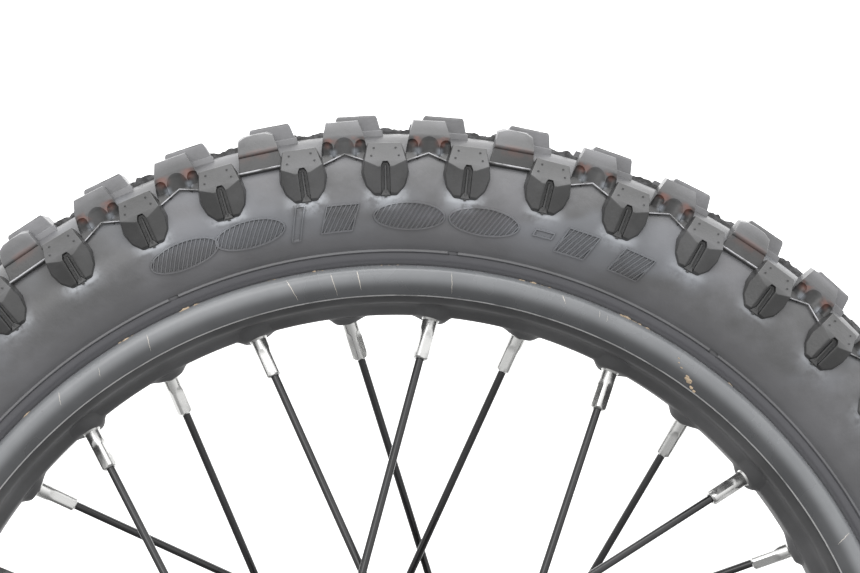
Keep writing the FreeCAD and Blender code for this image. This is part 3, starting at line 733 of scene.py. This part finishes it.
def add_nipple(shell, number, elbow, aim):
    """Round by the rim, then four milled flats that run out in scallops."""
    line = (aim - elbow).normalized()
    end = on_line(elbow, aim, NIPPLE_END_R)
    length = (on_line(elbow, aim, NIPPLE_TOP_R) - end).length
    flat_length = (on_line(elbow, aim, NIPPLE_ROUND_R) - end).length
    twist = math.radians((number * 37) % 90 - 20)  # each stops at its own turn
    stations = [(0.0, SPOKE_R + 0.15), (0.0, 2.1), (0.35, 2.55)]
    stations += [(0.7 + flat_length * k / 6, NIPPLE_BODY_R) for k in range(6)]
    stations += [(flat_length - RUN_OUT + 0.35 * k, NIPPLE_BODY_R) for k in range(10)]
    stations += [(length - 3.6, NIPPLE_BODY_R), (length - 2.2, NIPPLE_HEAD_R),
                 (length, NIPPLE_HEAD_R), (length, SPOKE_R)]
    stations.sort(key=lambda station: station[0])

    def reach_at(along, round_r, turn):
        if round_r < 2.0 or along > flat_length + 3:
            return round_r
        rise = max(0.0, along - (flat_length - RUN_OUT))
        depth = SQUARE_HALF + CUTTER_R - math.sqrt(max(CUTTER_R ** 2 - rise ** 2, 0.0))
        face_turn = (turn + twist + math.pi / 4) % (math.pi / 2) - math.pi / 4
        return min(round_r, depth / math.cos(face_turn))

    points = []
    across = line.cross(Vector((0, 1, 0))).normalized()
    upright = line.cross(across)
    for along, round_r in stations:
        points += ring(end + line * along, across, upright,
                       lambda turn: reach_at(along, round_r, turn), NIPPLE_SIDES)
    shell.add(points, grid_faces(len(stations), NIPPLE_SIDES, True, True))


def make_spokes(wire, zinc):
    for row in ((-1, True), (-1, False), (1, True), (1, False)):
        name = ("right_" if row[0] < 0 else "left_") + ("outer" if row[1] else "inner")
        spokes, nipples = Shell(), Shell()
        for number in range(SPOKES):
            side, outer, elbow, aim = spoke_line(number)
            if (side, outer) == row:
                add_spoke(spokes, side, outer, elbow, aim)
                add_nipple(nipples, number, elbow, aim)
        spokes.piece(name + "_spoke_wires", [wire], "spoke_black", (name + "_spokes",), 50.0)
        nipples.piece(name + "_nipple_turnings", [zinc], "nipple_zinc", (name + "_nipples",), 24.0)


# ---- marks of use on the rim ----
# Angle, upper and lower radius, slant in degrees and width of each streak.
LEVER_MARKS = (
    (-39.0, 188.6, 184.6, -0.7, 0.44), (-27.6, 188.4, 182.4, -0.5, 0.4),
    (-11.4, 189.2, 181.4, 0.8, 0.56), (-6.6, 188.9, 180.9, 0.5, 0.48),
    (-3.7, 188.8, 182.2, 0.3, 0.56), (6.6, 189.0, 181.3, 0.3, 0.4),
    (19.0, 189.2, 186.6, 0.6, 0.56), (-33.9, 187.2, 184.0, -0.5, 0.28),
    (23.4, 188.6, 186.2, 0.3, 0.24), (24.4, 188.2, 185.8, 0.2, 0.2),
    (61.0, 188.6, 183.0, 0.5, 0.4), (-74.0, 188.8, 182.0, -0.4, 0.4),
    (118.0, 189.0, 183.4, 0.4, 0.4), (171.0, 188.8, 182.6, -0.5, 0.48),
    (-131.0, 188.6, 184.2, 0.5, 0.4))
# Angle and size of each heap of crumbs between the tyre and the rim's crest.
CREST_CRUMBS = (
    (-43.0, 1.5), (-30.2, 1.3), (-29.4, 0.8), (-22.8, 1.6), (-21.6, 1.0), (-12.9, 1.2),
    (-7.9, 1.0), (-0.6, 0.7), (1.1, 0.6), (14.2, 1.1), (15.2, 1.4), (17.0, 0.9),
    (26.5, 1.6), (27.7, 1.1), (28.9, 1.5), (40.0, 0.8), (95.0, 1.2), (150.0, 1.3),
    (-88.0, 1.1), (-120.0, 1.2))
# Angle, radius and size of each crumb on the flange's face.
CURL_CRUMBS = (
    (35.6, 183.2, 0.8), (35.9, 182.5, 1.3), (36.1, 181.9, 1.0), (36.7, 180.9, 0.8),
    (37.2, 180.4, 0.6), (34.4, 184.6, 0.4), (33.9, 185.6, 0.35), (33.6, 186.9, 0.4))


def curl_place(radius):
    """Half width of the flange's outside at a radius."""
    path = smooth(CURL, 5)
    outside = []
    for before, point, after in zip(path, path[1:], path[2:]):
        _, across = directions(before, after)
        outside.append(tuple(Vector(point) + across * SHEET_HALF))
    crest = max(range(len(outside)), key=lambda index: outside[index][1])
    return crossing(outside[crest:], radius)


def add_scratch(shell, angle, r_high, r_low, slant, width):
    """Bare streak across the flange's curl, where a tyre lever slipped."""
    points = []
    count = 12
    for step in range(count):
        share = step / (count - 1)
        radius = r_high + (r_low - r_high) * share
        w = curl_place(radius)
        swell = math.sin(math.pi * min(1.0, share * 0.9 + 0.12))
        half = width * (0.25 + swell * random.uniform(0.5, 1.0)) / 2
        place = angle + slant * share + random.uniform(-0.03, 0.03)
        spread = math.degrees(half / radius)
        for turn, lift in ((-spread, -0.03), (0.0, 0.03), (spread, -0.03), (0.0, -0.3)):
            points.append(at(place + turn, radius, SHOWN_SIDE * (w + lift)))
    shell.add(points, capped_faces(count, 4))


def add_flake(shell, angle, radius, w, size):
    """Small ragged crumb that clings to the flange's edge."""
    count = 9
    centre = at(angle, radius, SHOWN_SIDE * w)
    out = at(angle, 1.0, 0)
    along = at(angle + 90.0, 1.0, 0)
    outer = []
    for turn in turns(count):
        reach = size * random.uniform(0.45, 1.0)
        direction = along * (1.5 * math.cos(turn)) + out * (0.6 * math.sin(turn))
        outer.append(centre + direction * reach)
    points = outer + [point + Vector((0, -SHOWN_SIDE * 0.5, 0)) - out * 0.3 for point in outer]
    points.append(centre + Vector((0, SHOWN_SIDE * 0.28 * size, 0)))
    faces = grid_faces(2, count, False, True) + [tuple(range(count, 2 * count))]
    faces += [(step, 2 * count, (step + 1) % count) for step in range(count)]
    shell.add(points, faces)


def make_marks(bare, dried):
    scratches = Shell()
    for mark in LEVER_MARKS:
        add_scratch(scratches, *mark)
    scratches.piece("rim_lever_marks", [bare], "rim_black")
    flakes = Shell()
    for angle, size in CREST_CRUMBS:
        for _ in range(4):
            spot = angle + random.uniform(-0.5, 0.5)
            radius = CURL_TOP + random.uniform(-0.15, 0.15)
            w = CREST_W + random.uniform(-0.5, 0.5)
            add_flake(flakes, spot, radius, w, size * random.uniform(0.3, 0.75))
    for angle, radius, size in CURL_CRUMBS:
        add_flake(flakes, angle, radius, curl_place(radius) + 0.1, size)
    flakes.piece("rim_dried_crumbs", [dried], "rim_black")


# ---- materials ----
class Nodes:
    """Short way to lay out the nodes of one material or world."""

    def __init__(self, owner, shader="Principled BSDF", place="Object"):
        owner.use_nodes = True
        self.owner = owner
        self.tree = owner.node_tree
        self.shader = self.tree.nodes[shader]
        self.place = self.node("ShaderNodeTexCoord").outputs[place]

    def node(self, kind, inputs=(), **settings):
        """New node. inputs pairs names or numbers of its sockets with what they are fed."""
        made = put(self.tree.nodes.new(kind), **settings)
        for key, value in dict(inputs).items():
            self.feed(value, made.inputs[key])
        return made

    def feed(self, value, socket):
        if isinstance(value, bpy.types.NodeSocket):
            self.tree.links.new(value, socket)
        else:
            socket.default_value = value

    def math(self, operation, first, second=0.0, third=0.0, clamp=False):
        inputs = enumerate((first, second, third))
        made = self.node("ShaderNodeMath", inputs, operation=operation, use_clamp=clamp)
        return made.outputs[0]

    def times(self, *values):
        """Product of all the values."""
        result = values[0]
        for value in values[1:]:
            result = self.math("MULTIPLY", result, value)
        return result

    def noise(self, scale, detail=4.0, rough=0.6, stretch=None):
        place = self.place
        if stretch:
            place = self.node("ShaderNodeMapping", {"Vector": place, "Scale": stretch}).outputs[0]
        inputs = {"Vector": place, "Scale": scale, "Detail": detail, "Roughness": rough}
        return self.node("ShaderNodeTexNoise", inputs).outputs["Fac"]

    def between(self, value, low, high, to_low=0.0, to_high=1.0):
        inputs = enumerate((value, low, high, to_low, to_high))
        made = self.node("ShaderNodeMapRange", inputs, interpolation_type="SMOOTHSTEP")
        return made.outputs[0]

    def band(self, value, low, low_full, high_full, high):
        """1 from low_full to high_full, falling to 0 at low and at high."""
        return self.times(self.between(value, low, low_full), self.between(value, high, high_full))

    def mix(self, share, first, second):
        inputs = {0: share, 6: first, 7: second}
        return self.node("ShaderNodeMix", inputs, data_type="RGBA").outputs[2]

    def bump(self, height, distance, strength=1.0, under=None):
        inputs = {"Strength": strength, "Distance": distance, "Height": height}
        if under:
            inputs["Normal"] = under
        return self.node("ShaderNodeBump", inputs).outputs[0]

    def finish(self, colour=None, roughness=None, normal=None, **fixed):
        for value, name in ((colour, "Base Color"), (roughness, "Roughness"), (normal, "Normal")):
            if value is not None:
                self.feed(value, self.shader.inputs[name])
        for name, value in fixed.items():
            self.shader.inputs[name.replace("_", " ")].default_value = value
        return self.owner

    def split_place(self):
        return self.node("ShaderNodeSeparateXYZ", {0: self.place}).outputs

    def wheel_place(self):
        """Radius, angle in degrees and distance from the wheel's middle, in millimetres."""
        x, y, z = self.split_place()
        square = self.math("ADD", self.times(x, x), self.times(z, z))
        radius = self.times(self.math("SQRT", square), 1 / MM)
        angle = self.times(self.math("ARCTAN2", x, z), 180.0 / math.pi)
        width = self.times(self.math("ABSOLUTE", y), 1 / MM)
        return radius, angle, width

    def near(self, angle, phase, period, reach):
        """1 at every angle phase + n period, falling to 0 over reach degrees."""
        shifted = self.math("ADD", angle, period / 2 - phase + 7200.0)
        offset = self.math("SUBTRACT", self.math("MODULO", shifted, period), period / 2)
        return self.between(self.math("ABSOLUTE", offset), reach, 0.0)

    def beside(self, angle, phase, apart, reach):
        """near() on both sides of each pitch's phase, apart degrees away from it."""
        return self.math("ADD", self.near(angle, phase + apart, PITCH, reach),
                         self.near(angle, phase - apart, PITCH, reach))


def material_nodes(name):
    return Nodes(bpy.data.materials.new(name))


def grey(value, tint=0.0):
    return (value, value, value * (1 + tint), 1.0)


def shaded(colour, share):
    return tuple(channel * share for channel in colour[:3]) + (1.0,)


def casing_rubber():
    """Sidewall rubber: chalky, with a pale bloom below the shoulder blocks, a painted highlight
    along their feet, and painted fill light in the recess above the rim.
    """
    n = material_nodes("tyre_rubber_casing")
    radius, angle, _ = n.wheel_place()
    cloud = n.noise(28.0, 5.0, 0.6)
    dusty = n.between(cloud, 0.35, 0.7)
    colour = n.mix(dusty, grey(0.07, 0.02), grey(0.126, 0.06))
    streaks = n.noise(13.0, 3.0, 0.55, (1.0, 1.0, 2.2))
    colour = n.mix(n.between(streaks, 0.52, 0.66, 0.0, 0.45), colour, (0.17, 0.18, 0.2, 1.0))
    colour = n.mix(n.between(radius, 209.0, 199.0, 0.0, 0.6), colour, grey(0.15, 0.04))
    foot = n.near(angle, SHOULDER_PHASE, PITCH, 2.9)
    patchy = n.times(n.between(n.noise(150.0, 5.0, 0.65), 0.36, 0.6),
                     n.between(n.noise(24.0, 2.0, 0.5), 0.34, 0.56, 0.35, 1.0))
    fresh = n.math("MULTIPLY_ADD", n.near(angle, -8.0, 360.0, 60.0), 0.7, 0.3)
    bloom = n.times(foot, n.band(radius, 208.5, 215.3, 217.0, 221.0), patchy, fresh)
    colour = n.mix(n.times(bloom, 0.85), colour, (0.4, 0.42, 0.45, 1.0))
    # Painted highlight: a pale line along the shoulder blocks' feet, in patches like the bloom.
    foot_painted_highlight = n.times(n.band(radius, 213.2, 214.8, 216.4, 218.6),
                  n.near(angle, SHOULDER_PHASE, PITCH, 2.4),
                  n.between(n.noise(320.0, 3.0, 0.6), 0.3, 0.5))
    colour = n.mix(n.times(foot_painted_highlight, fresh), colour, (0.46, 0.48, 0.51, 1.0))
    shoulder = n.times(n.band(radius, 212.0, 222.0, 234.0, 240.0), dusty, 0.3)
    colour = n.mix(shoulder, colour, grey(0.15, 0.05))
    # Painted fill light: the recess above the rim, and the dip just above the rim's crest, are
    # coloured lighter to lift the shade between the flange and the tyre.
    recess_painted_fill = n.between(radius, 195.6, 195.0)
    colour = n.mix(recess_painted_fill, colour, grey(0.1, 0.08))
    colour = n.mix(n.between(radius, 192.6, 191.2), colour, grey(0.19, 0.06))
    roughness = n.between(cloud, 0.3, 0.75, 0.34, 0.5)
    normal = n.bump(n.noise(900.0, 3.0, 0.6), 0.00012, 0.5)
    normal = n.bump(n.noise(160.0, 3.0, 0.5), 0.00035, 0.35, normal)
    return n.finish(colour, roughness, normal, Specular_IOR_Level=0.55)


def block_rubber():
    """Tread block rubber: crown faces lighter than the sides, dusty in patches, a little brown
    dirt, and painted shade in the scooped hollows.
    """
    n = material_nodes("tyre_rubber_blocks")
    radius, angle, width = n.wheel_place()
    cloud = n.noise(45.0, 5.0, 0.6)
    dusty = n.between(cloud, 0.35, 0.7)
    # Crown faces are lighter than the block sides, and the centre row lighter still; the crown line
    # falls towards the shoulder.
    outboard = n.math("MAXIMUM", n.math("SUBTRACT", width, 24.0), 0.0)
    brow = n.math("MULTIPLY_ADD", outboard, -1.1, 236.4)
    crown = n.between(n.math("SUBTRACT", radius, brow), -0.7, 0.7)
    side = n.mix(dusty, grey(0.034), grey(0.06, 0.02))
    face = n.mix(dusty, grey(0.06, 0.02), grey(0.09, 0.05))
    high_face = n.mix(dusty, grey(0.1, 0.03), grey(0.15, 0.05))
    face = n.mix(n.between(radius, 239.0, 243.2), face, high_face)
    colour = n.mix(crown, side, face)
    middle_row = n.mix(dusty, grey(0.12, 0.03), grey(0.19, 0.05))
    colour = n.mix(n.between(width, 11.6, 11.0), colour, middle_row)
    worn = n.times(n.between(radius, 244.9, 245.3), n.between(n.noise(300.0, 4.0), 0.35, 0.6))
    colour = n.mix(worn, colour, grey(0.025))
    plain = n.near(angle, MIDDLE_PHASE + PITCH, 3 * PITCH, 3.0)
    scooped = n.math("SUBTRACT", 1.0, n.between(plain, 0.0, 0.05))
    # Painted shade: the scooped blocks' hollows are coloured near black, where shade falls in them.
    hollows = n.times(n.beside(angle, MIDDLE_PHASE, 1.6, 0.75), scooped,
                      n.band(radius, 230.5, 233.0, 236.6, 237.6),
                      n.band(width, 20.5, 21.5, 25.2, 26.2))
    colour = n.mix(hollows, colour, grey(0.01))
    ridges = n.times(n.beside(angle, MIDDLE_PHASE, 1.15, 0.85), scooped)
    dirty = n.math("MAXIMUM", ridges, n.times(plain, 0.45), clamp=True)
    brown = n.times(dirty, n.band(radius, 232.2, 235.2, 236.4, 238.0),
                    n.band(width, 21.2, 22.4, 25.4, 26.4),
                    n.between(n.noise(150.0, 3.0, 0.6), 0.4, 0.56), 0.7)
    colour = n.mix(brown, colour, (0.15, 0.058, 0.042, 1.0))
    feet = n.times(n.beside(angle, MIDDLE_PHASE, 1.0, 0.5), scooped,
                   n.band(radius, 229.8, 231.2, 232.0, 233.6), n.between(width, 22.6, 23.4), 0.65)
    colour = n.mix(feet, colour, (0.3, 0.32, 0.35, 1.0))
    roughness = n.between(cloud, 0.3, 0.75, 0.3, 0.46)
    normal = n.bump(n.noise(900.0, 3.0, 0.6), 0.00014, 0.5)
    normal = n.bump(n.noise(180.0, 3.0, 0.5), 0.0003, 0.35, normal)
    return n.finish(colour, roughness, normal, Specular_IOR_Level=0.55)


def edge_highlight_rubber():
    """Pale rubber on the thin bars along the ledges' edges: a painted highlight of the rounded
    edge.
    """
    n = material_nodes("tyre_rubber_edge_highlights")
    cloud = n.noise(120.0, 4.0, 0.6)
    colour = n.mix(n.between(cloud, 0.36, 0.56), grey(0.2), grey(0.55, 0.04))
    return n.finish(colour, 0.4, n.bump(n.noise(900.0, 2.0, 0.5), 0.0001, 0.4))


def rough_rubber():
    """Torn, dusty rubber of the low bars between the centre blocks."""
    n = material_nodes("tyre_rubber_rough")
    cloud = n.noise(260.0, 6.0, 0.7)
    colour = n.mix(n.between(cloud, 0.4, 0.65), grey(0.018), grey(0.07, 0.04))
    return n.finish(colour, 0.85, n.bump(cloud, 0.0012, 0.9))


def black_paint(name, base, gloss):
    """Satin black coat over steel, a little dusty and finely pitted."""
    n = material_nodes(name)
    cloud = n.noise(22.0, 5.0, 0.6)
    speck = n.noise(700.0, 2.0, 0.5)
    colour = n.mix(n.between(cloud, 0.35, 0.72), grey(base * 0.8, 0.04), grey(base * 1.5, 0.06))
    colour = n.mix(n.between(speck, 0.7, 0.8, 0.0, 0.4), colour, grey(base * 2.0, 0.02))
    roughness = n.between(cloud, 0.3, 0.75, gloss - 0.04, gloss + 0.08)
    pits = n.bump(n.noise(420.0, 2.0, 0.5), 0.00008, 0.5)
    return n.finish(colour, roughness, pits, Specular_IOR_Level=0.55)


def rim_paint():
    """Satin black coat: dark in the well, with a painted highlight on the flange's crest and upper
    band, and a pale line along its edge that is worn paint and a painted highlight together.
    """
    n = material_nodes("rim_satin_black")
    radius, _, width = n.wheel_place()
    cloud = n.noise(22.0, 5.0, 0.6)
    cloudy = n.between(cloud, 0.35, 0.72)
    outside = n.times(n.between(radius, 178.6, 179.4), n.between(width, 20.0, 21.0))
    coat = n.mix(cloudy, (0.051, 0.053, 0.056, 1.0), (0.076, 0.078, 0.082, 1.0))
    # Painted highlight: the flange's crest and upper band are coloured pale and bluish, as the soft
    # light from above would show on the glossy curl.
    crest_painted_highlight = n.mix(cloudy, (0.168, 0.174, 0.182, 1.0), (0.216, 0.222, 0.23, 1.0))
    coat = n.mix(n.between(radius, 182.6, 186.8), coat, crest_painted_highlight)
    # Pale line along the flange's free edge: partly worn paint, partly a painted highlight of the
    # edge.
    worn = n.between(n.noise(90.0, 3.0), 0.3, 0.5, 0.35, 1.0)
    coat = n.mix(n.times(n.between(radius, 180.0, 179.8), worn), coat, grey(0.42))
    well = n.mix(n.between(cloud, 0.4, 0.7), grey(0.054, 0.03), grey(0.088, 0.03))
    colour = n.mix(outside, well, coat)
    roughness = n.between(cloud, 0.3, 0.75, 0.24, 0.34)
    dull = n.times(n.math("SUBTRACT", 1.0, outside), 0.45)
    roughness = n.math("ADD", roughness, dull)
    pits = n.bump(n.noise(420.0, 2.0, 0.5), 0.00006, 0.4)
    return n.finish(colour, roughness, pits, Specular_IOR_Level=0.6, Coat_Weight=0.12,
                    Coat_Roughness=0.2)


def metal(name, colour, roughness, dull, coarse=180.0):
    """Bare or plated metal with cloudy tarnish and fine tool marks."""
    n = material_nodes(name)
    cloud = n.noise(coarse, 5.0, 0.62)
    lines = n.noise(900.0, 2.0, 0.5)
    dark = shaded(colour, dull)
    tone = n.mix(n.between(cloud, 0.55, 0.78), colour, dark)
    worn = n.between(cloud, 0.3, 0.8, roughness * 0.8, min(1.0, roughness * 1.5))
    return n.finish(tone, worn, n.bump(lines, 0.00005, 0.4), Metallic=1.0)


def plastic(name, colour, roughness):
    n = material_nodes(name)
    cloud = n.noise(120.0, 4.0, 0.6)
    dark = shaded(colour, 0.7)
    tone = n.mix(n.between(cloud, 0.4, 0.7), dark, colour)
    return n.finish(tone, n.between(cloud, 0.3, 0.7, roughness, roughness + 0.15),
                    n.bump(n.noise(1200.0, 2.0, 0.5), 0.00004, 0.5))


def give(node, material):
    """Finish for a piece of the frame that is shown as it is."""
    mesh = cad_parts[node].data
    if not mesh.materials:
        mesh.materials.append(material)
    for index in range(len(mesh.materials)):
        mesh.materials[index] = material


def dress_frame():
    hub_coat = black_paint("hub_satin_black", 0.028, 0.33)
    steel = metal("bearing_ground_steel", (0.62, 0.62, 0.63, 1.0), 0.2, 0.6)
    zinc = metal("zinc_plate", (0.58, 0.59, 0.6, 1.0), 0.3, 0.5)
    brass = metal("valve_brass_plated", (0.6, 0.56, 0.47, 1.0), 0.28, 0.5)
    seal = plastic("seal_rubber_black", (0.03, 0.03, 0.032, 1.0), 0.5)
    cap = plastic("cap_plastic_black", (0.035, 0.035, 0.037, 1.0), 0.38)
    tube = plastic("tube_butyl_black", (0.02, 0.02, 0.021, 1.0), 0.6)
    cage = metal("cage_pressed_steel", (0.5, 0.48, 0.44, 1.0), 0.35, 0.6)
    wire = metal("bead_wire_steel", (0.42, 0.36, 0.28, 1.0), 0.4, 0.5)
    plan = {"hub": hub_coat, "distance_tube": zinc, "inner_tube": tube, "rim_strip": tube,
            "tyre_bead_cores": wire, "valve_stem": brass, "valve_rim_nut": zinc,
            "valve_core": brass, "valve_cap": cap}
    for side in ("right", "left"):
        for part in ("outer_race", "inner_race", "balls", "shields"):
            plan[side + "_bearing_" + part] = steel
        plan[side + "_bearing_cage"] = cage
        plan[side + "_dust_seal"] = seal
        plan[side + "_collar"] = zinc
    for node, material in plan.items():
        give(node, material)


# ---- camera, floor and light ----
SENSOR = 36.0
LENS = 83.72
CAMERA_PLACE = (-24.66, -741.9, 189.0)
CAMERA_YAW = -0.0507
CAMERA_PITCH = -0.0086
WHEEL_TURN = 0.6885  # the spokes' turn about the axle, which the camera shares


def make_camera():
    lens = bpy.data.cameras.new("camera")
    put(lens, sensor_width=SENSOR, lens=LENS, clip_start=0.01, clip_end=100.0)
    camera = linked("camera", lens)
    aim = Matrix.Rotation(CAMERA_YAW, 4, "Z") @ Matrix.Rotation(math.pi / 2 + CAMERA_PITCH, 4, "X")
    place = Matrix.Translation(Vector(CAMERA_PLACE) * MM) @ aim
    camera.matrix_world = Matrix.Rotation(math.radians(WHEEL_TURN), 4, "Y") @ place
    bpy.context.scene.camera = camera


def make_floor():
    """Pale floor that the tyre stands on, as a wide disc."""
    low = cad_box[0].z - 0.0002
    edge = [(12.0 * math.cos(turn), 12.0 * math.sin(turn), low) for turn in turns(96)]
    mesh = bpy.data.meshes.new("floor")
    mesh.from_pydata(edge, [], [tuple(range(96))])
    floor = linked("floor", mesh)
    n = material_nodes("floor_white")
    tone = n.mix(n.between(n.noise(6.0, 3.0), 0.3, 0.7), grey(0.88), grey(0.92))
    mesh.materials.append(n.finish(tone, 0.7))
    put(floor, visible_diffuse=False, visible_glossy=False)


SKY_FRONT = 1.15
# What the studio's light gains or loses in each direction, measured from the front.
SKY = (("MAXIMUM", 2, 0.9), ("MAXIMUM", 1, 0.8), ("MAXIMUM", 0, 0.2), ("MINIMUM", 2, 0.95))
SKY_LEAST = 0.35
SKY_SEEN = 1.3  # what the camera itself sees
SOFTBOX_POWER = 6.0


def make_light():
    world = bpy.data.worlds.new("studio")
    n = Nodes(world, "Background", "Generated")
    place = n.split_place()
    level = SKY_FRONT
    for operation, axis, gain in SKY:
        towards = n.math(operation, place[axis], 0.0)
        level = n.math("MULTIPLY_ADD", towards, gain, level)
    level = n.math("MAXIMUM", level, SKY_LEAST)
    seen = n.node("ShaderNodeLightPath").outputs["Is Camera Ray"]
    level = n.math("MAXIMUM", level, n.times(seen, SKY_SEEN))
    n.feed(grey(1.0), n.shader.inputs["Color"])
    n.feed(level, n.shader.inputs["Strength"])
    bpy.context.scene.world = world
    for name, place, size in (("top_softbox", (0.1, -0.35, 1.5), 1.2),
                              ("front_softbox", (-0.5, -1.7, 0.8), 1.0)):
        lamp = bpy.data.lights.new(name, "AREA")
        light = linked(name, put(lamp, shape="DISK", size=size, energy=SOFTBOX_POWER))
        light.location = place
        light.rotation_euler = (-Vector(place)).to_track_quat("-Z", "Y").to_euler()
    bpy.context.scene.view_settings.view_transform = "Standard"


def main():
    make_camera()
    make_tyre([casing_rubber(), rough_rubber(), block_rubber(), edge_highlight_rubber()])
    make_rim(rim_paint())
    make_spokes(black_paint("spoke_satin_black", 0.014, 0.18),
                metal("nipple_zinc_plate", (0.59, 0.59, 0.58, 1.0), 0.24, 0.78, 200.0))
    make_marks(metal("bare_scratched_steel", (0.6, 0.56, 0.5, 1.0), 0.4, 0.5),
               plastic("dried_crumbs", (0.55, 0.43, 0.3, 1.0), 0.8))
    dress_frame()
    make_floor()
    make_light()


main()
